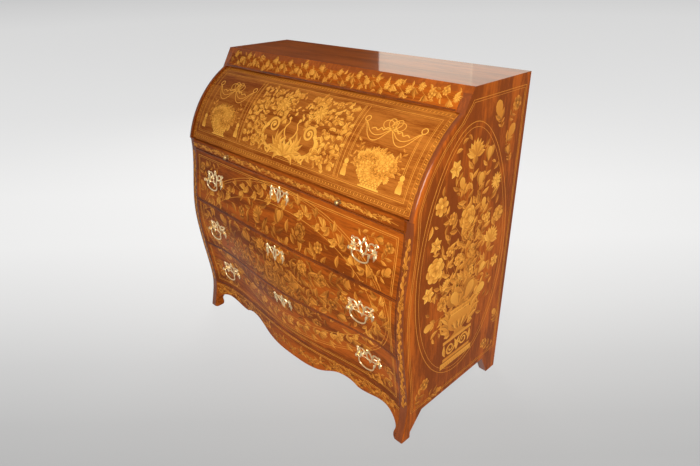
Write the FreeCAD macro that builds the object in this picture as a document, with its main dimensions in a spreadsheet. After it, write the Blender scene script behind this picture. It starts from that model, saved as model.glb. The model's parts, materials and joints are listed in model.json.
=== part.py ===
import FreeCAD, Part
import math
import os
import Sketcher
from types import SimpleNamespace

# Cylinder desk: a swelling three-drawer chest under a rigid curved fall.
# X runs along the width, the front looks to -Y and the feet stand on Z = 0.

Vector = FreeCAD.Vector

SIZES = (
    # case
    ("case_width", 1160),
    ("case_height", 1110),
    ("case_depth", 541),
    ("side_thickness", 30),
    ("top_thickness", 18),
    ("back_thickness", 12),
    ("side_edge_height", 85),
    ("front_foot_depth", 40),
    ("front_foot_flare", 57),
    ("toe_height", 22),
    ("rear_foot_depth", 53),
    ("rear_foot_flare", 40),
    ("arris_radius", 4),
    ("arc_round", 9),
    ("block_width", 34),
    # swelling front
    ("waist_setback", 20),
    ("belly_swell", 31),
    ("centre_bow", 17),
    ("hollow_depth", 20),
    ("hollow_place", 380),
    ("front_thickness", 28),
    ("front_core_depth", 120),
    # drawers
    ("apron_height", 127),
    ("drawer_pitch", 209),
    ("drawer_gap", 3),
    ("drawer_play", 1.5),
    ("drawer_side_thickness", 12),
    ("drawer_bottom_thickness", 8),
    ("drawer_bottom_rise", 6),
    ("drawer_groove", 5),
    ("drawer_rear_room", 39),
    ("drawer_top_room", 3),
    ("rail_thickness", 16),
    ("rail_depth", 60),
    ("rail_play", 0.6),
    ("runner_width", 34),
    # cylinder fall
    ("axis_from_back", 133.3),
    ("axis_height", 687),
    ("fall_radius", 400),
    ("fall_thickness", 20),
    ("fall_proud", 8),
    ("fall_gap", 4.5),
    ("fall_end_angle", 64.5),
    ("fall_play", 0.6),
    ("fall_lap", 13),
    ("tongue_thickness", 10),
    ("tongue_length", 8),
    ("tongue_play", 0.3),
    ("groove_end_angle", 107.5),
    ("fall_rail_thickness", 14),
    ("fall_rail_angle", 4.5),
    ("fall_rail_setback_angle", 0.8),
    # frieze
    ("frieze_height", 65),
    ("frieze_lean", 40),
    ("frieze_thickness", 26),
    ("frieze_clearance", 1.2),
    ("bead_radius", 5),
    # writing slide
    ("slide_front_height", 34),
    ("slide_front_thickness", 22),
    ("slide_front_proud", 6),
    ("slide_front_round", 5),
    ("slide_gap", 2),
    ("slide_lip", 14),
    ("slide_thickness", 18),
    ("slide_play", 1),
    ("slide_rear_room", 24),
    ("leather_width", 940),
    ("leather_depth", 200),
    ("leather_thickness", 1.5),
    ("leather_border", 30),
    ("knob_place", 300),
    ("knob_rise", 17),
    ("knob_radius", 8),
    ("knob_neck_radius", 3.5),
    ("knob_neck_length", 8),
    ("knob_rose_radius", 7),
    ("knob_rose_thickness", 2),
    # pigeonhole fitting
    ("fitting_depth", 267),
    ("fitting_gap", 4),
    ("fitting_board", 10),
    ("fitting_shelf", 8),
    ("small_drawer_height", 66),
    ("pigeonhole_height", 130),
    ("partition_thickness", 8),
    ("cove_radius", 60),
    ("cove_depth", 26),
    ("small_drawer_play", 0.8),
    ("small_front_thickness", 10),
    ("small_wall", 6),
    ("small_floor", 5),
    ("small_rear_room", 20),
    ("small_knob_radius", 6),
    ("small_neck_radius", 2.5),
    ("small_neck_length", 5),
    # handles
    ("handle_place", 405),
    ("handle_rise", 108),
    ("plate_thickness", 2.5),
    ("plate_seat", 0.1),
    ("plate_leaf_height", 27),
    ("plate_leaf_width", 11),
    ("plate_scroll_radius", 6),
    ("plate_bar_width", 5),
    ("plate_oval_height", 23),
    ("plate_oval_width", 15),
    ("post_place", 42.5),
    ("post_radius", 3),
    ("post_depth", 12),
    ("post_reach", 14),
    ("eye_radius", 6.5),
    ("eye_thickness", 7),
    ("bail_radius", 2.4),
    ("bail_play", 0.05),
    ("bail_half_width", 34),
    ("bail_neck_radius", 4),
    ("bail_neck_drop", 12),
    ("bail_corner_radius", 18),
    ("bail_sweep_radius", 55),
    # locks
    ("lock_drop", 44),
    ("lock_width", 62),
    ("lock_height", 44),
    ("lock_thickness", 14),
    ("lock_recess", 9),
    ("escutcheon_height", 24),
    ("escutcheon_width", 11),
    ("escutcheon_arm", 46),
    ("key_radius", 2.6),
    ("key_slot_width", 2.4),
    ("key_slot_length", 8),
    # runs cutting tools past the faces that they cut
    ("overrun", 5),
)

# Front profile, from the floor to the waist: heights as shares of the waist height.
STATION_SHARES = (0, 0.08, 0.16, 0.265, 0.40, 0.53, 0.637, 0.716, 0.862, 1)
STILE_SWELL_SHARES = (0.71, 0.26, -0.03, 0.10, 0.52, 0.87, 1, 0.90, 0.39, 0)
PANEL_SWELL_SHARES = (-0.06, -0.06, -0.03, 0.10, 0.52, 0.87, 1, 0.90, 0.39, 0)
BOW_SHARES = (0.47, 0.47, 0.47, 0.70, 0.94, 1, 0.94, 0.82, 0.47, 0)
HOLLOW_SHARES = (1, 1, 1, 0.95, 0.70, 0.35, 0.05, -0.10, -0.10, 0)

# Lower edge of the apron from the centre to the cusp, and from the cusp to the foot:
# shares of the half opening and of the apron's height.
APRON_LOBE_SHARES = ((0, 0.19), (0.20, 0.21), (0.31, 0.33), (0.42, 0.55), (0.52, 0.60), (0.61, 0.47))
APRON_FOOT_SHARES = (
    (0.61, 0.47),
    (0.73, 0.51),
    (0.855, 0.605),
    (0.94, 0.50),
    (0.984, 0.30),
    (0.972, 0.11),
    (0.98, 0),
)

DRAWERS = ("lower", "middle", "upper")
SIDES = (("left", -1), ("right", 1))
BAYS = 5
SMALL_DRAWER_BAYS = (0, 1, 3, 4)


class Size:
    """A size of the sheet, or a sum of such, that keeps the formula which binds it."""

    def __init__(self, formula, value):
        self.formula = formula
        self.value = float(value)

    def __float__(self):
        return self.value

    def __add__(self, other):
        return joined(self, "+", other, self.value + float(other))

    def __sub__(self, other):
        return joined(self, "-", other, self.value - float(other))

    def __rsub__(self, other):
        return joined(other, "-", self, float(other) - self.value)

    def __mul__(self, other):
        return joined(self, "*", other, self.value * float(other))

    __rmul__ = __mul__
    __radd__ = __add__

    def __truediv__(self, other):
        return joined(self, "/", other, self.value / float(other))

    def __neg__(self):
        return Size("(-1 * %s)" % self.formula, -self.value)


def formula_of(term):
    if isinstance(term, Size):
        return term.formula
    return "(%r)" % float(term)


def joined(first, sign, second, value):
    return Size("(%s %s %s)" % (formula_of(first), sign, formula_of(second)), value)


def root(term):
    return Size("sqrt(%s)" % term.formula, math.sqrt(term.value))


doc = FreeCAD.newDocument("CylinderDesk")
sheet = doc.addObject("Spreadsheet::Sheet", "Sizes")
for row, (name, number) in enumerate(SIZES, start=1):
    sheet.set("A%d" % row, name)
    sheet.set("B%d" % row, str(number))
    sheet.setAlias("B%d" % row, name)
doc.recompute()
size = SimpleNamespace(**{name: Size("Sizes." + name, sheet.get(name)) for name, number in SIZES})

# Planes and places that several pieces share.
ZERO = size.case_width * 0
half_width = size.case_width / 2
inner = half_width - size.side_thickness
front_reach = size.belly_swell + size.centre_bow - size.waist_setback
back = (size.case_depth + front_reach) / 2
foot_front = back - size.case_depth
waist = foot_front + size.waist_setback
back_inner = back - size.back_thickness
top_under = size.case_height - size.top_thickness
waist_height = size.apron_height + size.drawer_pitch * len(DRAWERS)
axis_y = back - size.axis_from_back
axis_z = size.axis_height
edge_radius = size.fall_radius + size.fall_proud
fall_reach = inner + size.fall_lap
slide_front_low = waist_height + size.slide_gap
slide_front_top = slide_front_low + size.slide_front_height
slide_low = slide_front_low + size.slide_lip
slide_top = slide_low + size.slide_thickness
nose_height = slide_front_top + size.slide_gap
fall_low = slide_front_top + size.fall_gap
frieze_low = size.case_height - size.frieze_height
core_back = foot_front + size.front_core_depth


def arc_y(radius, height):
    """Front of a circle about the fall's axis at a height."""
    rise = height - axis_z
    return axis_y - root(radius * radius - rise * rise)


frieze_low_y = arc_y(edge_radius, frieze_low)
frieze_top_y = frieze_low_y + size.frieze_lean
frieze_under_y = frieze_top_y - size.frieze_lean * size.top_thickness / size.frieze_height


def rail_span(level):
    """Heights of the rail under drawer number level: behind the gap, or under the waist."""
    if level == len(DRAWERS):
        return waist_height - size.rail_thickness, waist_height
    line = size.apron_height + size.drawer_pitch * level - size.drawer_gap / 2
    return line - size.rail_thickness / 2, line + size.rail_thickness / 2


nodes = {}


def keep(name, obj):
    """Makes an object the sub-part of that name."""
    obj.Label = name
    nodes[name] = obj
    return obj


def tie(obj, **bound):
    """Binds properties of an object to sizes."""
    for prop, term in bound.items():
        obj.setExpression(prop.replace("__", "."), term.formula)


def place(obj, x, y, z):
    tie(obj, Placement__Base__x=x, Placement__Base__y=y, Placement__Base__z=z)
    return obj


def board(name, x, y, z):
    """A plain board between two planes each way."""
    obj = doc.addObject("Part::Box", name)
    tie(obj, Length=x[1] - x[0], Width=y[1] - y[0], Height=z[1] - z[0])
    return place(obj, x[0], y[0], z[0])


def boolean(kind, name, base, tool):
    obj = doc.addObject("Part::" + kind, name)
    obj.Base = base
    obj.Tool = tool
    return obj


def group(name, members):
    obj = doc.addObject("Part::Compound", name)
    obj.Links = members
    return obj


def shaped(name, shape):
    obj = doc.addObject("Part::Feature", name)
    obj.Shape = shape
    return obj


def plane_of(body, role):
    return next(plane for plane in body.Origin.OriginFeatures if plane.Role == role)


def outlined(body, name, role, points):
    """A closed sketch of straight edges whose corners are bound to sizes."""
    sketch = body.newObject("Sketcher::SketchObject", name)
    sketch.AttachmentSupport = [(plane_of(body, role), "")]
    sketch.MapMode = "FlatFace"
    corners = [Vector(float(u), float(v), 0) for u, v in points]
    count = len(corners)
    for i in range(count):
        sketch.addGeometry(Part.LineSegment(corners[i], corners[(i + 1) % count]))
    for i in range(count):
        sketch.addConstraint(Sketcher.Constraint("Coincident", i, 2, (i + 1) % count, 1))
    for i, corner in enumerate(points):
        for kind, term in zip(("DistanceX", "DistanceY"), corner):
            index = sketch.addConstraint(Sketcher.Constraint(kind, -1, 1, i, 1, float(term)))
            sketch.setExpression("Constraints[%d]" % index, term.formula)
    return sketch


def bar_of_section(name, points, length):
    """A bar along X, about its middle, with a section drawn in Y and Z."""
    body = doc.addObject("PartDesign::Body", name)
    pad = body.newObject("PartDesign::Pad", name + "_pad")
    pad.Profile = outlined(body, name + "_section", "YZ_Plane", points)
    pad.Midplane = True
    tie(pad, Length=length)
    return body


def round_bar(name, radius, x, y, z):
    """A round bar along X."""
    obj = doc.addObject("Part::Cylinder", name)
    obj.Placement = FreeCAD.Placement(Vector(), FreeCAD.Rotation(Vector(0, 1, 0), 90))
    tie(obj, Radius=radius, Height=x[1] - x[0])
    return place(obj, x[0], y, z)


def round_pin(name, radius, x, y, z):
    """A round pin along Y."""
    obj = doc.addObject("Part::Cylinder", name)
    obj.Placement = FreeCAD.Placement(Vector(), FreeCAD.Rotation(Vector(1, 0, 0), -90))
    tie(obj, Radius=radius, Height=y[1] - y[0])
    return place(obj, x, y[0], z)


def ball(name, radius, x, y, z):
    obj = doc.addObject("Part::Sphere", name)
    tie(obj, Radius=radius)
    return place(obj, x, y, z)


# Angles about the fall's axis are counted from the front, upwards.

FRONT_AXES = FreeCAD.Rotation(Vector(0, -1, 0), Vector(0, 0, 1), Vector(-1, 0, 0), "ZXY")
fall_start_angle = math.degrees(math.asin(float(fall_low - axis_z) / float(size.fall_radius)))


def sector(name, radii, angles, x):
    """A curved bar about the fall's axis, between two radii and two angles."""
    outer = doc.addObject("Part::Cylinder", name + "_outer")
    outer.Angle = angles[1] - angles[0]
    core = doc.addObject("Part::Cylinder", name + "_core")
    for obj, radius in ((outer, radii[1]), (core, radii[0])):
        turn = FreeCAD.Rotation(Vector(0, 0, 1), angles[0])
        obj.Placement = FreeCAD.Placement(Vector(), FRONT_AXES.multiply(turn))
        tie(obj, Radius=radius, Height=x[1] - x[0])
        place(obj, x[1], axis_y, axis_z)
    return boolean("Cut", name, outer, core)


# The swelling front: one smooth skin through five upright sections.


def profile(swell_shares, offset, forward=ZERO, forward_shares=STATION_SHARES):
    """Points of an upright section, from the floor to the waist, set back by an offset."""
    points = []
    for station, swell, ahead in zip(STATION_SHARES, swell_shares, forward_shares):
        depth = waist + offset - size.belly_swell * swell - forward * ahead
        points.append(Vector(0, float(depth), float(waist_height * station)))
    return points


def spline(points):
    curve = Part.BSplineCurve()
    curve.interpolate(points)
    return curve.toShape()


def front_core(name, offset):
    """Everything behind the front skin, with the skin set back by an offset."""
    stile = profile(STILE_SWELL_SHARES, offset)
    hollow = profile(PANEL_SWELL_SHARES, offset, -size.hollow_depth, HOLLOW_SHARES)
    middle = profile(PANEL_SWELL_SHARES, offset, size.centre_bow, BOW_SHARES)
    wires = []
    for x, points in (
        (-inner, stile),
        (-size.hollow_place, hollow),
        (ZERO, middle),
        (size.hollow_place, hollow),
        (inner, stile),
    ):
        shift = Vector(float(x), 0, 0)
        low = Vector(0, float(core_back), points[0].z)
        high = Vector(0, float(core_back), points[-1].z)
        edges = [spline([point + shift for point in points])]
        edges.append(Part.makeLine(points[-1] + shift, high + shift))
        edges.append(Part.makeLine(high + shift, low + shift))
        edges.append(Part.makeLine(low + shift, points[0] + shift))
        wires.append(Part.Wire(edges))
    return shaped(name, Part.makeLoft(wires, True, False))


skin_core = front_core("skin_core", ZERO)
inside_core = front_core("inside_core", size.front_thickness)
rail_core = front_core("rail_core", size.front_thickness + size.rail_play)
seat_core = front_core("seat_core", -size.plate_seat)
plate_core = front_core("plate_core", -size.plate_seat - size.plate_thickness)
plate_skin = boolean("Cut", "plate_skin", plate_core, seat_core)
doc.recompute()


def skin_y(x, z):
    """Depth of the front skin at a place on it."""
    ahead = Vector(float(x), float(foot_front - size.case_depth), float(z))
    behind = Vector(float(x), float(core_back), float(z))
    return skin_core.Shape.common(Part.makeLine(ahead, behind)).BoundBox.YMin


# Side boards, each cut from one board with its feet, and grooved for the fall's tongues.


def ring_sector(radii, angles, x):
    """Solid of a curved slot about the fall's axis."""
    points = []
    for radius in radii:
        for angle in (angles[0], (angles[0] + angles[1]) / 2, angles[1]):
            turn = math.radians(angle)
            y = float(axis_y) - float(radius) * math.cos(turn)
            z = float(axis_z) + float(radius) * math.sin(turn)
            points.append(Vector(float(x[0]), y, z))
    near = Part.Arc(*points[:3]).toShape()
    far = Part.Arc(*points[3:]).toShape()
    ends = [Part.makeLine(points[0], points[3]), Part.makeLine(points[2], points[5])]
    wire = Part.Wire(Part.__sortEdges__([near, far] + ends))
    return Part.Face(wire).extrude(Vector(float(x[1] - x[0]), 0, 0))


def side_outline():
    """The side seen from its end: back, top, frieze slope, arc, nose, swelling stile, feet."""
    toe = profile(STILE_SWELL_SHARES, ZERO)[0].y
    stile = profile(STILE_SWELL_SHARES, ZERO)[::-1]
    middle_angle = math.radians((float(fall_start_angle) + float(size.fall_end_angle)) / 2)
    arc_middle = Vector(
        0,
        float(axis_y) - float(edge_radius) * math.cos(middle_angle),
        float(axis_z) + float(edge_radius) * math.sin(middle_angle),
    )
    frieze_end = Vector(0, float(frieze_low_y), float(frieze_low))
    nose = Vector(0, float(arc_y(edge_radius, nose_height)), float(nose_height))
    start = Vector(0, float(back), 0)
    crown = float(top_under)
    head = [start, Vector(0, float(back), crown), Vector(0, float(frieze_under_y), crown), frieze_end]
    edges = [Part.makeLine(a, b) for a, b in zip(head, head[1:])]
    edges.append(Part.Arc(frieze_end, arc_middle, nose).toShape())
    step = Vector(0, float(waist), nose.z)
    edges.append(Part.makeLine(nose, step))
    edges.append(Part.makeLine(step, stile[0]))
    edges.append(spline(stile))
    foot = toe + float(size.front_foot_depth)
    rear = float(back - size.rear_foot_depth)
    edge = float(size.side_edge_height)
    feet = [
        stile[-1],
        Vector(0, foot, 0),
        Vector(0, foot, float(size.toe_height)),
        Vector(0, foot + float(size.front_foot_flare), edge),
        Vector(0, rear - float(size.rear_foot_flare), edge),
        Vector(0, rear, 0),
        start,
    ]
    edges += [Part.makeLine(a, b) for a, b in zip(feet, feet[1:])]
    return Part.Face(Part.Wire(edges))


def long_edges(solid, x, z):
    """Long front edges of a side board that lie in a plane of constant X, between two heights."""
    found = []
    for edge in solid.Edges:
        box = edge.BoundBox
        flat = max(abs(box.XMin - float(x)), abs(box.XMax - float(x))) < float(size.fall_play)
        long = box.ZLength > float(size.frieze_height * 2)
        within = box.ZMin > float(z[0]) and box.ZMax < float(z[1])
        front = box.YMin < float(arc_y(size.fall_radius, fall_low))
        if flat and long and within and front and box.YMax < float(axis_y):
            found.append(edge)
    return found


def side_board(hand):
    """A side, rebated where the fall laps over it and grooved for the fall's tongue."""
    slab = side_outline().extrude(Vector(float(size.side_thickness), 0, 0))
    slab.translate(Vector(float(inner), 0, 0))
    middle = size.fall_radius - size.fall_thickness / 2
    reach = size.tongue_thickness / 2 + size.tongue_play
    play_angle = math.degrees(float(size.fall_gap) / float(size.fall_radius))
    low_angle = fall_start_angle - play_angle / 2
    end_angle = float(size.groove_end_angle)
    frieze_angle = math.degrees(math.asin(float(frieze_low - axis_z) / float(edge_radius)))
    floor = size.fall_radius - size.fall_thickness - size.fall_play
    roof = size.fall_radius + size.frieze_clearance
    rebate = (inner - size.overrun, fall_reach)
    groove = (inner - size.overrun, fall_reach + size.tongue_length + size.tongue_play)
    for radii, angles, x in (
        ((floor, edge_radius + size.overrun), (low_angle, frieze_angle), rebate),
        ((floor, roof), (low_angle, end_angle), rebate),
        ((middle - reach, middle + reach), (low_angle, end_angle), groove),
    ):
        slab = slab.cut(ring_sector(radii, angles, x))
    slab = slab.removeSplitter()
    above = (waist_height, size.case_height)
    below = (-size.overrun, nose_height)
    for radius, x, z in (
        (size.arris_radius, half_width, below),
        (size.arc_round, half_width, above),
        (size.arris_radius, fall_reach, above),
    ):
        slab = slab.makeFillet(float(radius), long_edges(slab, x, z))
    if hand < 0:
        slab = slab.mirror(Vector(), Vector(1, 0, 0))
    return slab


for side, hand in SIDES:
    keep(side + "_side", shaped(side + "_side", side_board(hand)))

# Top, frieze and back.

top_section = (
    (frieze_under_y, top_under),
    (back, top_under),
    (back, size.case_height),
    (frieze_top_y, size.case_height),
)
keep("top_board", bar_of_section("top_board", top_section, size.case_width))

frieze_section = (
    (frieze_low_y, frieze_low),
    (frieze_low_y + size.frieze_thickness, frieze_low),
    (frieze_under_y + size.frieze_thickness, top_under),
    (frieze_under_y, top_under),
)
frieze_bar = bar_of_section("frieze_bar", frieze_section, inner * 2)
bead_z = frieze_low + size.bead_radius
bead_y = frieze_low_y + size.frieze_lean * size.bead_radius / size.frieze_height + size.bead_radius / 2
frieze_bead = round_bar("frieze_bead", size.bead_radius, (-inner, inner), bead_y, bead_z)
frieze_solid = boolean("Fuse", "frieze_solid", frieze_bar, frieze_bead)
fall_room = round_bar(
    "fall_room",
    size.fall_radius + size.frieze_clearance,
    (-half_width, half_width),
    axis_y,
    axis_z,
)
keep("frieze_board", boolean("Cut", "frieze_board", frieze_solid, fall_room))

inside = (-inner, inner)
back_span = (back_inner, back)
bottom_low = rail_span(0)[0]
keep("lower_back_panel", board("lower_back_panel", inside, back_span, (bottom_low, waist_height)))
keep("upper_back_panel", board("upper_back_panel", inside, back_span, (waist_height, top_under)))

# Bottom board, rails behind the drawer fronts, and runners along the sides.

BETWEEN = range(1, len(DRAWERS))
rail_back = waist + size.front_thickness + size.rail_depth


def rail(name, level, rear):
    span = rail_span(level)
    blank = board(name + "_blank", inside, (foot_front - size.belly_swell, core_back), span)
    shaped_front = boolean("Common", name + "_front", blank, rail_core)
    if rear is None:
        trim = board(name + "_trim", inside, (rail_back, core_back + size.overrun), span)
        return boolean("Cut", name, shaped_front, trim)
    rest = board(name + "_rest", inside, (core_back, rear), span)
    return boolean("Fuse", name, shaped_front, rest)


keep("bottom_board", rail("bottom_board", 0, back_inner))
keep("drawer_rails", group("drawer_rails", [rail("rail_%d" % level, level, None) for level in BETWEEN]))
keep("waist_rail", rail("waist_rail", len(DRAWERS), None))

runners = []
for level in BETWEEN:
    span = rail_span(level)
    for side, hand in SIDES:
        x = (-inner, size.runner_width - inner) if hand < 0 else (inner - size.runner_width, inner)
        runners.append(board("runner_%d_%s" % (level, side), x, (rail_back, back_inner), span))
keep("drawer_runners", group("drawer_runners", runners))

slide_runners = []
for side, hand in SIDES:
    x = (-inner, size.runner_width - inner) if hand < 0 else (inner - size.runner_width, inner)
    y = (waist + size.front_thickness + size.rail_play, back_inner)
    slide_runners.append(board("slide_runner_" + side, x, y, (waist_height, slide_low)))
keep("slide_runners", group("slide_runners", slide_runners))

# Apron with its scalloped edge, which runs down into the feet.


def apron_cut():
    """Everything under the apron's lower edge, as one slab through its thickness."""
    lobe = [Vector(float(inner) * u, 0, float(size.apron_height) * v) for u, v in APRON_LOBE_SHARES]
    foot = [Vector(float(inner) * u, 0, float(size.apron_height) * v) for u, v in APRON_FOOT_SHARES]
    flip = [Vector(-p.x, p.y, p.z) for p in lobe]
    far = [Vector(-p.x, p.y, p.z) for p in foot]
    drop = Vector(0, 0, -float(size.overrun))
    edges = [spline(flip[:0:-1] + lobe), spline(foot), spline(far)]
    edges.append(Part.makeLine(foot[-1], foot[-1] + drop))
    edges.append(Part.makeLine(foot[-1] + drop, far[-1] + drop))
    edges.append(Part.makeLine(far[-1] + drop, far[-1]))
    slab = Part.Face(Part.Wire(Part.__sortEdges__(edges)))
    slab.translate(Vector(0, float(foot_front - size.case_depth), 0))
    return slab.extrude(Vector(0, float(size.case_depth * 2), 0))


def front_piece(name, x, z):
    """A piece of the swelling front, as thick as the front, between two planes each way."""
    blank = board(name + "_blank", x, (foot_front - size.case_depth, core_back), z)
    solid = boolean("Common", name + "_solid", blank, skin_core)
    return boolean("Cut", name + "_shell", solid, inside_core)


apron_shell = front_piece("apron", inside, (ZERO, size.apron_height - size.drawer_gap))
keep("apron", boolean("Cut", "apron", apron_shell, shaped("apron_edge", apron_cut())))

blocks = []
block_low = size.side_edge_height
front_block_y = waist + size.front_thickness + size.block_width / 2
for side, hand in SIDES:
    x = (-inner, size.block_width - inner) if hand < 0 else (inner - size.block_width, inner)
    for end, y in (("front", front_block_y), ("rear", back_inner - size.block_width)):
        span = (y, y + size.block_width)
        blocks.append(board("block_%s_%s" % (end, side), x, span, (block_low, bottom_low)))
keep("foot_blocks", group("foot_blocks", blocks))

# Cylinder fall: a curved panel whose end tongues run in the sides' grooves.

fall_end = float(size.fall_end_angle)
fall_half = fall_reach - size.fall_play
fall_panel = sector(
    "fall_panel",
    (size.fall_radius - size.fall_thickness, size.fall_radius),
    (fall_start_angle, fall_end),
    (-fall_half, fall_half),
)
tongue_middle = size.fall_radius - size.fall_thickness / 2
fall_tongue = sector(
    "fall_tongue",
    (tongue_middle - size.tongue_thickness / 2, tongue_middle + size.tongue_thickness / 2),
    (fall_start_angle, fall_end),
    (-fall_reach - size.tongue_length, fall_reach + size.tongue_length),
)
keep("cylinder_fall", boolean("Fuse", "cylinder_fall", fall_panel, fall_tongue))
fall_inside = size.fall_radius - size.fall_thickness
fall_rail_start = fall_start_angle + float(size.fall_rail_setback_angle)
keep(
    "fall_lower_rail",
    sector(
        "fall_lower_rail",
        (fall_inside - size.fall_rail_thickness, fall_inside),
        (fall_rail_start, fall_rail_start + float(size.fall_rail_angle)),
        (size.tongue_length - inner, inner - size.tongue_length),
    ),
)

# Writing slide: board, leather, front band and knobs.

slide_half = inner - size.slide_play
slide_face = waist - size.slide_front_proud
slide_front_back = slide_face + size.slide_front_thickness
slide_board = board(
    "slide_board",
    (-slide_half, slide_half),
    (slide_front_back, back_inner - size.slide_rear_room),
    (slide_low, slide_top),
)
leather_y = slide_front_back + size.leather_border
leather = board(
    "writing_leather",
    (size.leather_width / -2, size.leather_width / 2),
    (leather_y, leather_y + size.leather_depth),
    (slide_top - size.leather_thickness, slide_top),
)
keep("writing_slide", boolean("Cut", "writing_slide", slide_board, leather))
keep("writing_leather", leather)

band_section = (
    (slide_face, slide_front_low),
    (slide_front_back, slide_front_low),
    (slide_front_back, slide_front_top),
    (slide_face, slide_front_top),
)
band = bar_of_section("slide_front", band_section, slide_half * 2)
doc.recompute()
band_pad = band.Tip
long_edges = [
    "Edge%d" % number
    for number, edge in enumerate(band_pad.Shape.Edges, start=1)
    if edge.BoundBox.YMax - float(slide_face) < float(size.slide_play)
    and edge.BoundBox.XLength > float(slide_half)
]
rounding = band.newObject("PartDesign::Fillet", "slide_front_rounding")
rounding.Base = (band_pad, long_edges)
tie(rounding, Radius=size.slide_front_round)
keep("slide_front", band)


def knob(name, radii, lengths, x, y, z):
    """A turned knob that stands forward of a face at y: rose, neck and ball."""
    ball_radius, neck_radius, rose_radius = radii
    neck_length, rose_thickness = lengths
    rose = round_pin(name + "_rose", rose_radius, x, (y - rose_thickness, y), z)
    neck = round_pin(name + "_neck", neck_radius, x, (y - neck_length, y), z)
    stem = boolean("Fuse", name + "_stem", rose, neck)
    head = ball(name + "_ball", ball_radius, x, y - neck_length - ball_radius / 2, z)
    return boolean("Fuse", name, stem, head)


slide_knobs = []
for side, hand in SIDES:
    slide_knobs.append(
        knob(
            "slide_knob_" + side,
            (size.knob_radius, size.knob_neck_radius, size.knob_rose_radius),
            (size.knob_neck_length, size.knob_rose_thickness),
            size.knob_place * hand,
            slide_face,
            slide_front_low + size.knob_rise,
        )
    )
keep("slide_knobs", group("slide_knobs", slide_knobs))

# Pigeonhole fitting behind the fall.

fitting_front = back_inner - size.fitting_depth
fitting_y = (fitting_front, back_inner)
base_low = slide_top + size.fitting_gap
base_top = base_low + size.fitting_board
shelf_low = base_top + size.small_drawer_height
shelf_top = shelf_low + size.fitting_shelf
roof_low = shelf_top + size.pigeonhole_height
keep("interior_base", board("interior_base", inside, fitting_y, (base_low, base_top)))
keep("interior_shelf", board("interior_shelf", inside, fitting_y, (shelf_low, shelf_top)))
keep("interior_top", board("interior_top", inside, fitting_y, (roof_low, roof_low + size.fitting_board)))

bay_width = inner * 2 / BAYS
cove_y = fitting_front + size.cove_depth - size.cove_radius
cove_z = (shelf_top + roof_low) / 2
cove = round_bar("partition_cove", size.cove_radius, inside, cove_y, cove_z)
lower_partitions = []
upper_partitions = []
for i in range(1, BAYS):
    middle = bay_width * i - inner
    x = (middle - size.partition_thickness / 2, middle + size.partition_thickness / 2)
    lower_partitions.append(board("lower_partition_%d" % i, x, fitting_y, (base_top, shelf_low)))
    blank = board("upper_partition_%d" % i, x, fitting_y, (shelf_top, roof_low))
    upper_partitions.append(boolean("Cut", "upper_partition_cut_%d" % i, blank, cove))
keep("lower_partitions", group("lower_partitions", lower_partitions))
keep("upper_partitions", group("upper_partitions", upper_partitions))


def small_drawer(name, bay):
    """A small tray with a thicker front and a turned wooden knob."""
    left = bay_width * bay - inner
    left = left + (size.partition_thickness / 2 if bay else ZERO) + size.small_drawer_play
    right = bay_width * (bay + 1) - inner
    right = right - (size.partition_thickness / 2 if bay < BAYS - 1 else ZERO) - size.small_drawer_play
    top = shelf_low - size.small_drawer_play
    rear = back_inner - size.small_rear_room
    body = doc.addObject("PartDesign::Body", name + "_tray")
    plan = ((left, fitting_front), (right, fitting_front), (right, rear), (left, rear))
    pad = body.newObject("PartDesign::Pad", name + "_pad")
    pad.Profile = outlined(body, name + "_plan", "XY_Plane", plan)
    tie(pad, Length=top - base_top)
    front = fitting_front + size.small_front_thickness
    wall = size.small_wall
    behind = rear - wall
    well = ((left + wall, front), (right - wall, front), (right - wall, behind), (left + wall, behind))
    pocket = body.newObject("PartDesign::Pocket", name + "_well")
    sketch = outlined(body, name + "_well_plan", "XY_Plane", well)
    sketch.setExpression("AttachmentOffset.Base.z", (top - base_top).formula)
    pocket.Profile = sketch
    tie(pocket, Length=top - base_top - size.small_floor)
    place(body, ZERO, ZERO, base_top)
    pull = knob(
        name + "_knob",
        (size.small_knob_radius, size.small_neck_radius, size.small_neck_radius),
        (size.small_neck_length, size.small_neck_length),
        (left + right) / 2,
        fitting_front,
        (base_top + top) / 2,
    )
    return group(name, [body, pull])


for number, bay in enumerate(SMALL_DRAWER_BAYS, start=1):
    name = "small_drawer_%d" % number
    keep(name, small_drawer(name, bay))

# Brass on the drawers: the plates are bent to the front's skin.


def oval(x, z, wide, high):
    """Flat oval in a plane of constant Y, wide and high by half."""
    middle = Vector(x, 0, z)
    sides = [(float(wide), Vector(1, 0, 0)), (float(high), Vector(0, 0, 1))]
    sides.sort(key=lambda pair: -pair[0])
    ends = [middle + direction * length for length, direction in sides]
    if float(wide) == float(high):
        curve = Part.Circle(middle, Vector(0, -1, 0), float(wide))
    else:
        curve = Part.Ellipse(ends[0], ends[1], middle)
    return Part.Face(Part.Wire(curve.toShape()))


def strap(start, end, width):
    """Flat strip between two points of a plane of constant Y."""
    first = Vector(start[0], 0, start[1])
    last = Vector(end[0], 0, end[1])
    run = (last - first).normalize()
    aside = Vector(-run.z, 0, run.x) * (float(width) / 2)
    corners = [first + aside, last + aside, last - aside, first - aside, first + aside]
    return Part.Face(Part.makePolygon(corners))


def bent(name, faces, openings, x, z):
    """A pierced plate of flat outlines, centred at a place and bent to the front's skin."""
    span = Vector(0, float(size.case_depth), 0)
    start = Vector(float(x), float(foot_front) - float(size.case_depth) / 2, float(z))
    solids = [face.extrude(span) for face in faces]
    prism = solids[0].multiFuse(solids[1:]).removeSplitter()
    for face in openings:
        prism = prism.cut(face.extrude(span))
    prism.translate(start)
    return boolean("Common", name, shaped(name + "_outline", prism), plate_skin)


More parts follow.
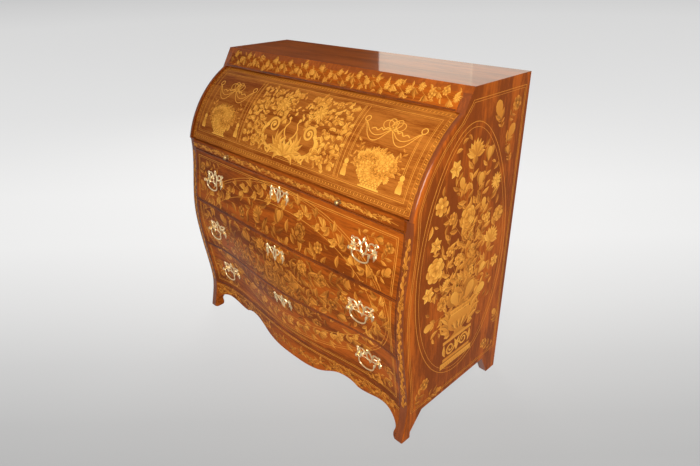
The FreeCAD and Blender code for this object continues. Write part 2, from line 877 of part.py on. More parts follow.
PLATE_SCROLL_SHARES = ((1.10, 0.86), (1.12, -0.92))
PLATE_BAR_SHARES = (((0.10, 0.95), (0.86, 0.18)), ((0.18, 0.02), (0.88, -0.16)))
PLATE_OPENING_SHARES = (0.50, 0.58)
PLATE_OVAL_RISE_SHARE = 0.25
PLATE_FINIAL_SHARE = 1.35


def plate(name, x, z):
    """Handle plate: two upright leaves joined by straps to a pierced oval with a finial."""
    post = float(size.post_place)
    leaf = float(size.plate_leaf_height)
    rise = leaf * PLATE_OVAL_RISE_SHARE
    faces = []
    for side, hand in SIDES:
        faces.append(oval(hand * post, 0, size.plate_leaf_width, size.plate_leaf_height))
        for across, up in PLATE_SCROLL_SHARES:
            scroll = size.plate_scroll_radius
            faces.append(oval(hand * post * across, leaf * up, scroll, scroll))
        for start, end in PLATE_BAR_SHARES:
            ends = [(hand * post * u, leaf * v) for u, v in (start, end)]
            faces.append(strap(ends[0], ends[1], size.plate_bar_width))
    faces.append(oval(0, rise, size.plate_oval_width, size.plate_oval_height))
    faces.append(oval(0, leaf * PLATE_FINIAL_SHARE, size.plate_scroll_radius, size.plate_scroll_radius))
    wide, high = PLATE_OPENING_SHARES
    opening = oval(0, rise, size.plate_oval_width * wide, size.plate_oval_height * high)
    return bent(name, faces, [opening], x, z)


ESCUTCHEON_LEG_SHARES = (((-0.9, 0.75), (-0.9, -0.9)), ((0.9, 0.75), (0.9, -0.9)))
ESCUTCHEON_ARM_SHARES = (
    ((-0.9, 0.62), (0, -0.2)),
    ((0.9, 0.62), (0, -0.2)),
    ((-0.9, 0.62), (0, 0.8)),
    ((0.9, 0.62), (0, 0.8)),
)


def escutcheon(name, x, z):
    """Keyhole plate: a pierced oval with two hanging legs."""
    arm = float(size.escutcheon_arm)
    high = float(size.escutcheon_height)
    faces = [oval(0, 0, size.escutcheon_width, size.escutcheon_height)]
    for start, end in ESCUTCHEON_LEG_SHARES + ESCUTCHEON_ARM_SHARES:
        ends = [(arm * u, high * v) for u, v in (start, end)]
        faces.append(strap(ends[0], ends[1], size.plate_bar_width))
    slot_end = (0, -float(size.key_slot_length))
    openings = [oval(0, 0, size.key_radius, size.key_radius), strap((0, 0), slot_end, size.key_slot_width)]
    return bent(name, faces, openings, x, z)


def rod_run(start, end):
    """A straight stretch of a bail's rod."""
    return Part.makeCylinder(float(size.bail_radius), (end - start).Length, start, end - start)


def rod_bend(centre, start, turn):
    """A bent stretch of a bail's rod, turned about a point of its plane."""
    upright = Vector(0, 1, 0)
    ring = Part.makeCircle(float(size.bail_radius), start, upright.cross(start - centre))
    return Part.Face(Part.Wire(ring)).revolve(centre, upright, turn)


def bail(name, x, y, z):
    """A swan-necked handle: pins, necks, corners and one long sweep."""
    wide = float(size.bail_half_width)
    neck = float(size.bail_neck_radius)
    drop = float(size.bail_neck_drop)
    corner = float(size.bail_corner_radius)
    sweep = float(size.bail_sweep_radius)
    corner_x = wide - corner
    rise = math.sqrt((sweep - corner) ** 2 - corner_x**2)
    outward = Vector(-corner_x, 0, -rise).normalize()
    turn = math.degrees(math.atan2(rise, corner_x))
    pin = Vector(-float(size.post_place + size.eye_thickness / 2), 0, 0)
    shoulder = Vector(-wide - neck, 0, 0)
    neck_middle = Vector(-wide - neck, 0, -neck)
    neck_end = Vector(-wide, 0, -neck)
    corner_start = Vector(-wide, 0, -drop)
    corner_middle = Vector(-corner_x, 0, -drop)
    half = [
        rod_run(pin, shoulder),
        rod_bend(neck_middle, shoulder, 90),
        rod_run(neck_end, corner_start),
        rod_bend(corner_middle, corner_start, -turn),
    ]
    bottom = rod_bend(Vector(0, 0, rise - drop), corner_middle + outward * corner, 2 * turn - 180)
    other = [solid.mirror(Vector(), Vector(1, 0, 0)) for solid in half]
    rod = bottom.multiFuse(half + other).removeSplitter()
    rod.translate(Vector(float(x), y, float(z)))
    return shaped(name, rod)


def read_size(value):
    """A place read off the front's skin, kept as a plain value."""
    return Size("(%r)" % value, value)


def drawer(level, kind):
    """One long drawer with its box, lock, handles and escutcheon."""
    low = size.apron_height + size.drawer_pitch * level
    high = low + size.drawer_pitch - size.drawer_gap
    half = inner - size.drawer_play
    name = kind + "_drawer_"
    shell = front_piece(name + "front", (-half, half), (low, high))

    lock_z = high - size.lock_drop
    lock_face = read_size(skin_y(ZERO, lock_z)) + size.front_thickness - size.lock_recess
    lock = board(
        name + "lock",
        (size.lock_width / -2, size.lock_width / 2),
        (lock_face, lock_face + size.lock_thickness),
        (lock_z - size.lock_height / 2, lock_z + size.lock_height / 2),
    )
    keep(name + "lock", lock)
    key_span = (lock_face - size.case_depth, lock_face)
    keyhole = round_pin(name + "keyhole", size.key_radius, ZERO, key_span, lock_z)

    handle_z = low + size.handle_rise
    plates = []
    posts = []
    shanks = []
    for side, hand in SIDES:
        x = size.handle_place * hand
        skin = read_size(skin_y(x, handle_z))
        axis = skin - size.plate_thickness - size.post_reach
        shank_span = (axis, skin + size.post_depth)
        plates.append(plate("%splate_%s" % (name, side), x, handle_z))
        for end in (-1, 1):
            label = "%spost_%s_%d" % (name, side, end + 1)
            post_x = x + size.post_place * end
            shank = round_pin(label + "_shank", size.post_radius, post_x, shank_span, handle_z)
            eye_x = (post_x - size.eye_thickness / 2, post_x + size.eye_thickness / 2)
            eye = round_bar(label + "_eye", size.eye_radius, eye_x, axis, handle_z)
            drill_x = (eye_x[0] - size.overrun, eye_x[1] + size.overrun)
            hole = round_bar(label + "_hole", size.bail_radius + size.bail_play, drill_x, axis, handle_z)
            solid = boolean("Fuse", label + "_solid", shank, eye)
            posts.append(boolean("Cut", label, solid, hole))
            shanks.append(shank)
        keep("%s%s_bail" % (name, side), bail("%s%s_bail" % (name, side), x, float(axis), handle_z))
    drills = group(name + "drills", shanks)
    keep(name + "plates", boolean("Cut", name + "plates", group(name + "plate_pair", plates), drills))
    keep(name + "posts", group(name + "posts", posts))
    keep(name + "escutcheon", escutcheon(name + "escutcheon", ZERO, lock_z))
    cuts = group(name + "cuts", shanks + [lock, keyhole])
    keep(name + "front", boolean("Cut", name + "front", shell, cuts))

    box_low = rail_span(level)[1]
    box_high = rail_span(level + 1)[0] - size.drawer_top_room
    rear = back_inner - size.drawer_rear_room
    wall = size.drawer_side_thickness
    floor_low = box_low + size.drawer_bottom_rise
    floor = (floor_low, floor_low + size.drawer_bottom_thickness)
    ahead = foot_front - size.belly_swell

    def fitted(label, x, y, z):
        """A board of the box whose front end follows the inside of the drawer front."""
        front = board(label + "_head", x, (ahead, core_back), z)
        head = boolean("Common", label + "_nose", front, inside_core)
        return boolean("Fuse", label, head, board(label + "_tail", x, (core_back, y), z))

    floor_half = half - wall + size.drawer_groove
    bottom = fitted(name + "bottom", (-floor_half, floor_half), rear, floor)
    keep(name + "bottom", bottom)
    walls = []
    for side, hand in SIDES:
        x = (-half, wall - half) if hand < 0 else (half - wall, half)
        blank = fitted("%sside_%s" % (name, side), x, rear, (box_low, box_high))
        walls.append(boolean("Cut", "%sside_cut_%s" % (name, side), blank, bottom))
    keep(name + "sides", group(name + "sides", walls))
    rear_span = (wall - half, half - wall)
    keep(name + "back", board(name + "back", rear_span, (rear - wall, rear), (floor[1], box_high)))


for level, kind in enumerate(DRAWERS):
    drawer(level, kind)

doc.recompute()
for obj in doc.Objects:
    if "Invalid" in obj.State or "Error" in obj.State:
        raise RuntimeError("%s failed: %s" % (obj.Label, obj.State))
for name, obj in nodes.items():
    if obj.Shape.isNull() or not obj.Shape.isValid() or not obj.Shape.Solids:
        raise RuntimeError("%s has no valid solid" % name)
os.makedirs("parts", exist_ok=True)
for name, obj in nodes.items():
    obj.Shape.exportStep("parts/%s.step" % name)
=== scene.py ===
"""Cylinder desk: veneer, floral marquetry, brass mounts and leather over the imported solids."""

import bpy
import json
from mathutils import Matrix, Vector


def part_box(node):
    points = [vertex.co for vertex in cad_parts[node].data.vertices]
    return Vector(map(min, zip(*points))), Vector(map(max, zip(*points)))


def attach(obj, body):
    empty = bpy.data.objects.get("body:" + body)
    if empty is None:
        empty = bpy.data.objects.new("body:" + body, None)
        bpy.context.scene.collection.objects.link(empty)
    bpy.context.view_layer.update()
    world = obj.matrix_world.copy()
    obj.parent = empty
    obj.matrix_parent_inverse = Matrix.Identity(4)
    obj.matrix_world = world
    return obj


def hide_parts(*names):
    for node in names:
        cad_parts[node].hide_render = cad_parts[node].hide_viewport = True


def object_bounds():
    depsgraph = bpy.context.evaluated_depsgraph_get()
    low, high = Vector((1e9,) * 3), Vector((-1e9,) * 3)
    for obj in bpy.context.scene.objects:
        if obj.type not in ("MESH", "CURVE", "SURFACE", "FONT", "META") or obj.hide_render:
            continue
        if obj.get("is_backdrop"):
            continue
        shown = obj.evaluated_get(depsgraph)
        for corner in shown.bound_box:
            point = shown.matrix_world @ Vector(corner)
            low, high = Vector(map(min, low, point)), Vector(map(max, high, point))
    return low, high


bl_info = {
    "name": "Marquetry Cylinder Desk",
    "version": (1, 0, 0),
    "blender": (4, 5, 0),
    "location": "3D View > Sidebar > Desk",
    "description": "Dresses a cylinder desk with veneer, floral marquetry, brass and leather",
    "category": "Object",
}

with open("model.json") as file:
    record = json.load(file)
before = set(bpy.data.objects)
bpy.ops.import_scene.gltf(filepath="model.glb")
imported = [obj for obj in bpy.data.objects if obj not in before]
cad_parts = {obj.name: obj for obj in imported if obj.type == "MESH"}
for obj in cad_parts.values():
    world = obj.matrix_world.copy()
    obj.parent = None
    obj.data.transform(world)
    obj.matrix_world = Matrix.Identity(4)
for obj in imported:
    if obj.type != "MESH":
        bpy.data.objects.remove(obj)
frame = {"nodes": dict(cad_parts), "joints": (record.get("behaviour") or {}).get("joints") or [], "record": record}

import cmath
import json
import math
import random

import bmesh
import bpy
from mathutils import Matrix, Vector
from mathutils.bvhtree import BVHTree

CAD_BOX = [list(corner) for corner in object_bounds()]
NODES = frame["nodes"]
JOINTS = {joint["name"]: joint for joint in frame["joints"]}
SLOT_OF = {part["node"]: part["material_slot"] for part in frame["record"]["subparts"]}
MM = 0.001
DRAWERS = ("lower", "middle", "upper")


# Settings


def colour(name, description, default):
    return bpy.props.FloatVectorProperty(
        name=name, description=description, subtype="COLOR", size=3, min=0, max=1, default=default
    )


def length(name, description, default):
    return bpy.props.FloatProperty(
        name=name, description=description, subtype="DISTANCE", unit="LENGTH", default=default, precision=5
    )


def number(name, description, default):
    return bpy.props.FloatProperty(name=name, description=description, default=default)


def degrees(name, description, default):
    return bpy.props.FloatProperty(
        name=name, description=description, subtype="ANGLE", default=math.radians(default)
    )


class DeskWoods(bpy.types.PropertyGroup):
    """Colours of the woods and of the leather."""

    ground: colour("Ground", "Lit colour of the ground veneer", (0.475, 0.108, 0.010))
    fall: colour("Fall", "Lit colour of the fall's veneer", (0.49, 0.156, 0.022))
    figure: colour("Figure", "Dark figure in the ground veneer", (0.255, 0.055, 0.006))
    inlay_light: colour("Light inlay", "Palest wood of the flowers", (0.95, 0.50, 0.085))
    inlay_middle: colour("Inlay", "Main wood of the flowers", (0.66, 0.245, 0.032))
    inlay_deep: colour("Shaded inlay", "Scorched edges of the flowers", (0.20, 0.052, 0.007))
    oak: colour("Oak", "Rails and drawer boxes", (0.38, 0.205, 0.078))
    fitting: colour("Fitting", "Pigeonholes and small drawers", (0.36, 0.155, 0.048))
    pine: colour("Pine", "Back panels and bottom", (0.40, 0.225, 0.095))
    leather: colour("Leather", "Writing surface", (0.085, 0.022, 0.014))


class DeskInlay(bpy.types.PropertyGroup):
    """Sizes of the inlaid pieces."""

    lift: length("Lift", "How far the inlay stands above the veneer", 0.00028)
    sink: length("Sink", "How far the inlay reaches into the veneer", 0.0006)
    layer: length("Layer", "Step between pieces that lie over each other", 0.00015)
    string: length("String", "Width of the light lines", 0.0022)
    step: length("Step", "Spacing of points along a line", 0.006)


class DeskMetal(bpy.types.PropertyGroup):
    """Colours of the metals."""

    brass: colour("Brass", "Handles, escutcheons and knobs", (0.94, 0.73, 0.41))
    tarnish: colour("Tarnish", "Brass in its hollows", (0.50, 0.32, 0.13))
    iron: colour("Iron", "Lock cases", (0.16, 0.145, 0.13))


class DeskStage(bpy.types.PropertyGroup):
    """Camera, lamps and floor."""

    lens: bpy.props.FloatProperty(name="Lens", description="Focal length", unit="CAMERA", default=27.64)
    eye: bpy.props.FloatVectorProperty(
        name="Eye",
        description="Place of the camera",
        subtype="TRANSLATION",
        default=(1.3772, -1.2366, 1.4098),
    )
    yaw: degrees("Yaw", "Turn to the left", 46.206)
    dip: degrees("Dip", "Look down", 26.849)
    roll: degrees("Roll", "Tilt", -1.166)
    key: number("Key", "Power of the main lamp in watts", 15.5)
    spread: degrees("Spread", "How wide the main lamp throws its light", 65)
    fill: number("Fill", "Power of the fill lamp in watts", 12)
    rear: number("Rear", "Power of the lamp behind the desk in watts", 60)
    card: number("Card", "Power of the reflected panels in watts", 0.98)
    ambient: number("Ambient", "Strength of the even light", 0.075)
    wall: colour("Wall", "Grey of the wall behind the floor", (0.62, 0.62, 0.625))


# Finishes


class Value:
    """A quantity that varies over a surface, with Python's arithmetic."""

    def __init__(self, nodes, socket):
        self.nodes = nodes
        self.socket = socket

    def combined(self, operation, first, second):
        return self.nodes.add("ShaderNodeMath", {"operation": operation}, {0: first, 1: second})

    def __add__(self, other):
        return self.combined("ADD", self, other)

    def __sub__(self, other):
        return self.combined("SUBTRACT", self, other)

    def __rsub__(self, other):
        return self.combined("SUBTRACT", other, self)

    def __mul__(self, other):
        return self.combined("MULTIPLY", self, other)

    def __truediv__(self, other):
        return self.combined("DIVIDE", self, other)

    def __rtruediv__(self, other):
        return self.combined("DIVIDE", other, self)

    __radd__ = __add__
    __rmul__ = __mul__


class Nodes:
    """The nodes of one shader tree."""

    def __init__(self, tree):
        self.tree = tree
        self.tree.nodes.clear()

    def add(self, kind, settings, inputs, output=0):
        node = self.tree.nodes.new(kind)
        for key, value in settings.items():
            if key == "stops":
                ramp = node.color_ramp
                while len(ramp.elements) < len(value):
                    ramp.elements.new(1)
                for element, (place, shade) in zip(ramp.elements, value):
                    element.position = place
                    element.color = (*shade, 1)
            else:
                setattr(node, key, value)
        for key, value in inputs.items():
            self.feed(node.inputs[key], value)
        return Value(self, node.outputs[output])

    def feed(self, socket, value):
        if isinstance(value, Value):
            self.tree.links.new(value.socket, socket)
        else:
            socket.default_value = value

    def shown(self):
        """1 for what the camera sees directly, in a mirror or through glass."""
        camera, glossy, clear = (
            self.add("ShaderNodeLightPath", {}, {}, "Is %s Ray" % kind)
            for kind in ("Camera", "Glossy", "Transmission")
        )
        return camera + glossy + clear


class Finish(Nodes):
    """One material with a principled shader, and the nodes that feed it."""

    def __init__(self, name, constants):
        self.material = bpy.data.materials.new(name)
        self.material.use_nodes = True
        super().__init__(self.material.node_tree)
        self.output = self.tree.nodes.new("ShaderNodeOutputMaterial")
        self.shader = self.tree.nodes.new("ShaderNodeBsdfPrincipled")
        self.tree.links.new(self.shader.outputs[0], self.output.inputs[0])
        for socket, value in constants.items():
            self.shader.inputs[socket].default_value = value

    def place(self, stretch=(1, 1, 1)):
        """Places on the piece, stretched along its grain."""
        where = self.add("ShaderNodeTexCoord", {}, {}, "Object")
        return self.add("ShaderNodeMapping", {}, {"Vector": where, "Scale": stretch})

    def along(self, vector, axis):
        """One coordinate of a vector."""
        return self.add("ShaderNodeSeparateXYZ", {}, {"Vector": vector}, axis)

    def facing(self, axis):
        """One coordinate of the direction that the surface faces."""
        return self.along(self.add("ShaderNodeNewGeometry", {}, {}, "Normal"), axis)

    def noise(self, place, scale, detail=3.0, warp=0.0):
        inputs = {"Vector": place, "Scale": scale, "Detail": detail, "Distortion": warp}
        return self.add("ShaderNodeTexNoise", {}, inputs)

    def mix(self, factor, first, second):
        first, second = ((*c, 1) if isinstance(c, tuple) else c for c in (first, second))
        return self.add("ShaderNodeMix", {"data_type": "RGBA"}, {0: factor, 6: first, 7: second}, 2)

    def ramp(self, factor, stops):
        return self.add("ShaderNodeValToRGB", {"stops": stops}, {"Fac": factor})

    def between(self, value, low, high):
        """Share of the way of a value from low to high, held to 0 and 1."""
        return self.add("ShaderNodeMapRange", {}, {"Value": value, "From Min": low, "From Max": high})

    def tones(self, mask, low, high, stops):
        """Colours at stops on the way of a mask from low to high."""
        return self.ramp(self.between(mask, low, high), stops)

    def surface(self, **fed):
        for socket, value in fed.items():
            self.feed(self.shader.inputs[socket.replace("_", " ")], value)
        return self.material

    def bump(self, height, strength, distance):
        inputs = {"Height": height, "Strength": strength, "Distance": distance}
        return self.add("ShaderNodeBump", {}, inputs, "Normal")


def toned(shade, share):
    """A colour made darker, or lighter where the share is over 1."""
    return tuple(channel * share for channel in shade)


POLISH = {"Coat Weight": 0.02, "Coat Roughness": 0.05, "Specular IOR Level": 0.03}
BEAD_POLISH = {"Coat Weight": 0.35, "Coat Roughness": 0.1, "Specular IOR Level": 0.1}
MIRROR_POLISH = {"Coat Roughness": 0.06, "Specular IOR Level": 0.03}
UNPOLISHED = {"IOR": 1.45}
# strength and depth of the pores in polished veneer
PORES = (0.05, 0.0002)
# heights between which the darker front edge of a side ends
EDGE_TOP = (1.03, 1.04)


def figured(finish, stretch, ground, figure, streak):
    """Tone and pores of figured wood, its grain running where the stretch is least."""
    grain = finish.place(stretch)
    clouds = finish.noise(grain, 2.2, 3, 0.8)
    lines = finish.noise(grain, 26, 6, 0.4)
    fine = finish.noise(grain, 150, 3)
    mask = ((clouds - 0.5) * 0.9 + (lines - 0.5) * 0.55) * streak + fine * 0.25 + 0.725
    stops = ((0, toned(figure, 0.75)), (0.35, figure), (0.62, ground), (1, toned(ground, 1.3)))
    return finish.tones(mask, 0.52, 1.18, stops), fine


def veneer(name, stretch, ground, figure, streak=1.0, polish=POLISH):
    """Figured wood under a high polish."""
    finish = Finish(name, polish)
    tone, fine = figured(finish, stretch, ground, figure, streak)
    relief = finish.bump(fine, *PORES)
    return finish.surface(Base_Color=tone, Roughness=fine * 0.16 + 0.24, Normal=relief)


def upright(finish, ground, figure):
    """Tone, figure and pores of the upright grain on the sides."""
    grain = finish.place((6, 6, 1.1))
    clouds = finish.noise(grain, 1.7, 3, 1.1)
    lines = finish.noise(grain, 14, 6, 0.5)
    fine = finish.noise(finish.place((9, 9, 1)), 90, 3)
    mask = clouds * 0.95 + lines * 0.5 + fine * 0.25
    stops = ((0, toned(figure, 0.8)), (0.4, figure), (0.65, ground), (1, toned(ground, 1.25)))
    return finish.tones(mask, 0.55, 1.22, stops), mask, fine


def top_veneer(name, ground, figure):
    """Mirror polish on the flat of the top, and an edge that goes on from the sides."""
    finish = Finish(name, MIRROR_POLISH)
    flat, fine = figured(finish, (0.9, 7, 7), toned(ground, 1.2), toned(figure, 1.5), 0.8)
    edge = upright(finish, ground, figure)[0]
    level = finish.between(finish.facing("Z"), 0.4, 0.8)
    tone = finish.mix(level, edge, flat)
    relief = finish.bump(fine, *PORES)
    return finish.surface(
        Base_Color=tone, Roughness=fine * 0.16 + 0.24, Coat_Weight=level * 0.78 + 0.02, Normal=relief
    )


def side_veneer(name, woods):
    """Upright grain on the flat of the side, and a darker cross-banded front edge."""
    ground, figure = tuple(woods.ground), tuple(woods.figure)
    finish = Finish(name, POLISH)
    flat, mask, fine = upright(finish, ground, figure)
    stops = ((0, toned(figure, 0.45)), (0.6, toned(figure, 0.95)), (1, toned(ground, 0.8)))
    edge = finish.tones(mask, 0.5, 1.2, stops)
    across = finish.facing("X")
    outward = finish.between(across * across, 0.3, 0.6)
    height = finish.along(finish.place(), "Z")
    shade = finish.mix(outward + finish.between(height, *EDGE_TOP), edge, flat)
    relief = finish.bump(fine, *PORES)
    return finish.surface(
        Base_Color=shade, Roughness=fine * 0.16 + 0.22, Coat_Weight=0.6 - outward * 0.58, Normal=relief
    )


def plain_wood(name, shade, stretch, rough):
    """Planed wood with open grain, waxed or raw."""
    finish = Finish(name, UNPOLISHED)
    grain = finish.place(stretch)
    broad = finish.noise(grain, 5, 4, 0.6)
    fine = finish.noise(grain, 60, 5)
    stops = ((0, toned(shade, 0.55)), (0.5, shade), (1, toned(shade, 1.25)))
    tone = finish.tones(broad * 0.7 + fine * 0.5, 0.4, 0.85, stops)
    relief = finish.bump(fine, 0.15, 0.0004)
    return finish.surface(Base_Color=tone, Roughness=fine * 0.2 + rough, Normal=relief)


def board_wood(name, shade, wide):
    """Upright raw boards of one width, each of its own tone, with dark joints."""
    finish = Finish(name, UNPOLISHED)
    where = finish.add("ShaderNodeTexCoord", {}, {}, "Object")
    across = finish.along(where, "X") / wide
    board = finish.add("ShaderNodeMath", {"operation": "FLOOR"}, {0: across})
    own = finish.add("ShaderNodeTexWhiteNoise", {"noise_dimensions": "1D"}, {"W": board})
    offset = finish.add("ShaderNodeCombineXYZ", {}, {"X": own * 40, "Z": own * 13})
    moved = finish.add("ShaderNodeVectorMath", {"operation": "ADD"}, {0: where, 1: offset})
    grain = finish.add("ShaderNodeMapping", {}, {"Vector": moved, "Scale": (9, 9, 0.8)})
    broad = finish.noise(grain, 4, 4, 0.9)
    fine = finish.noise(grain, 55, 5)
    stops = ((0, toned(shade, 0.55)), (0.5, shade), (1, toned(shade, 1.3)))
    tone = finish.tones(broad * 0.7 + fine * 0.45 + own * 0.16, 0.45, 0.95, stops)
    middle = finish.add("ShaderNodeMath", {"operation": "ABSOLUTE"}, {0: across - board - 0.5})
    joint = finish.between(middle, 0.492, 0.498)
    tone = finish.mix(joint, tone, toned(shade, 0.16))
    relief = finish.bump(fine * 0.2 - joint, 0.4, 0.0006)
    return finish.surface(Base_Color=tone, Roughness=fine * 0.2 + 0.6, Normal=relief)


def inlay_wood(name, woods):
    """Pale woods let into the veneer; each piece has a tone, scorched darker towards its base."""
    finish = Finish(name, POLISH)
    tone = finish.add("ShaderNodeAttribute", {"attribute_name": "tone"}, {}, "Fac")
    fine = finish.noise(finish.place((40, 40, 9)), 14, 4)
    broad = finish.noise(finish.place(), 9, 2)
    shade = tone + (fine - 0.5) * 0.38 + (broad - 0.5) * 0.25
    wood = finish.ramp(
        shade,
        ((0, tuple(woods.inlay_deep)), (0.5, tuple(woods.inlay_middle)), (1, tuple(woods.inlay_light))),
    )
    return finish.surface(Base_Color=wood, Roughness=fine * 0.14 + 0.24)


def brass(name, bright, dull, rough):
    """Lacquered cast brass, darker where dirt stays."""
    finish = Finish(name, {"Metallic": 1.0})
    where = finish.place()
    cloud = finish.noise(where, 55, 4)
    fine = finish.noise(where, 420, 3)
    shade = finish.mix(finish.between(cloud, 0.56, 0.78), bright, dull)
    relief = finish.bump(fine, 0.12, 0.0003)
    return finish.surface(Base_Color=shade, Roughness=cloud * 0.16 + rough, Normal=relief)


def iron(name, shade):
    """Filed iron, clouded by rust."""
    finish = Finish(name, {"Metallic": 1.0})
    cloud = finish.noise(finish.place(), 70, 5)
    tone = finish.mix(finish.between(cloud, 0.35, 0.7), toned(shade, 0.6), toned(shade, 1.3))
    relief = finish.bump(cloud, 0.2, 0.0004)
    return finish.surface(Base_Color=tone, Roughness=cloud * 0.3 + 0.3, Normal=relief)


def leather(name, shade):
    """Pebbled leather, paler where it is worn."""
    finish = Finish(name, UNPOLISHED)
    where = finish.place()
    pebble = finish.add("ShaderNodeTexVoronoi", {}, {"Vector": where, "Scale": 620})
    worn = finish.noise(where, 7, 4)
    tone = finish.mix(finish.between(worn, 0.4, 0.75), shade, toned(shade, 2.2))
    relief = finish.bump(pebble, 0.35, 0.0005)
    return finish.surface(Base_Color=tone, Roughness=worn * 0.25 + 0.36, Normal=relief)


# Drawing on a surface

PETAL_SHARES = ((0, 0.16), (0.28, 0.62), (0.58, 1), (0.82, 0.9), (0.96, 0.46), (1, 0.14))
LEAF_SHARES = ((0, 0.06), (0.14, 0.5), (0.32, 0.92), (0.5, 1), (0.7, 0.74), (0.87, 0.34), (1, 0.04))
SMALL_LEAF = 16 * MM
SMALL_LEAF_SHARES = ((0, 0.06), (0.2, 0.7), (0.5, 1), (0.8, 0.52), (1, 0.04))
# share of a leaf's half width that is left open along its midrib
RIB_GAP = 0.07
# tones of a leaf's two halves, from base to tip
LIT_HALF = (-0.12, 0.06)
SHADED_HALF = (-0.34, -0.12)
SPRIG_LEAN = 0.9
# sheets take turns at this many heights, so that crossing ones don't lie in one plane
HEIGHTS = 151
DISC_ANGLES = tuple(math.radians(angle) for angle in (-82, -50, -17, 17, 50, 82))
ACROSS = (-1, -0.5, 0, 0.5, 1)


def spot(u, v):
    """A place of a drawing, from millimetres."""
    return complex(u, v) * MM


def smooth(points, step):
    """Even points along a soft curve through the given ones."""
    if len(points) == 2:
        count = max(2, round(abs(points[1] - points[0]) / step))
        return [points[0] + (points[1] - points[0]) * k / count for k in range(count + 1)]
    padded = [2 * points[0] - points[1], *points, 2 * points[-1] - points[-2]]
    line = []
    for a, b, c, d in zip(padded, padded[1:], padded[2:], padded[3:]):
        count = max(2, round(abs(c - b) / step))
        for k in range(count):
            t = k / count
            square = (2 * a - 5 * b + 4 * c - d) * t * t
            cube = (3 * b - a - 3 * c + d) * t**3
            line.append(0.5 * (2 * b + (c - a) * t + square + cube))
    return [*line, points[-1]]


def unit(way):
    """A step's direction alone."""
    return way / (abs(way) or 1)


def heading(line, k):
    """Direction of a line at one of its points."""
    return unit(line[min(k + 1, len(line) - 1)] - line[max(k - 1, 0)])


def oval(centre, across, up, count):
    """Points round an oval, from its half width and half height."""
    angles = [math.tau * k / count for k in range(count)]
    return [centre + complex(across * math.cos(angle), up * math.sin(angle)) for angle in angles]


def corners(low, high):
    """Corners of a rectangle, in turn."""
    return [low, complex(high.real, low.imag), high, complex(low.real, high.imag)]


def about(u, v, side=1):
    """Places of a drawing about its middle, mirrored where side is -1."""

    def at(a, b):
        return spot(u + side * a, v + b)

    return at


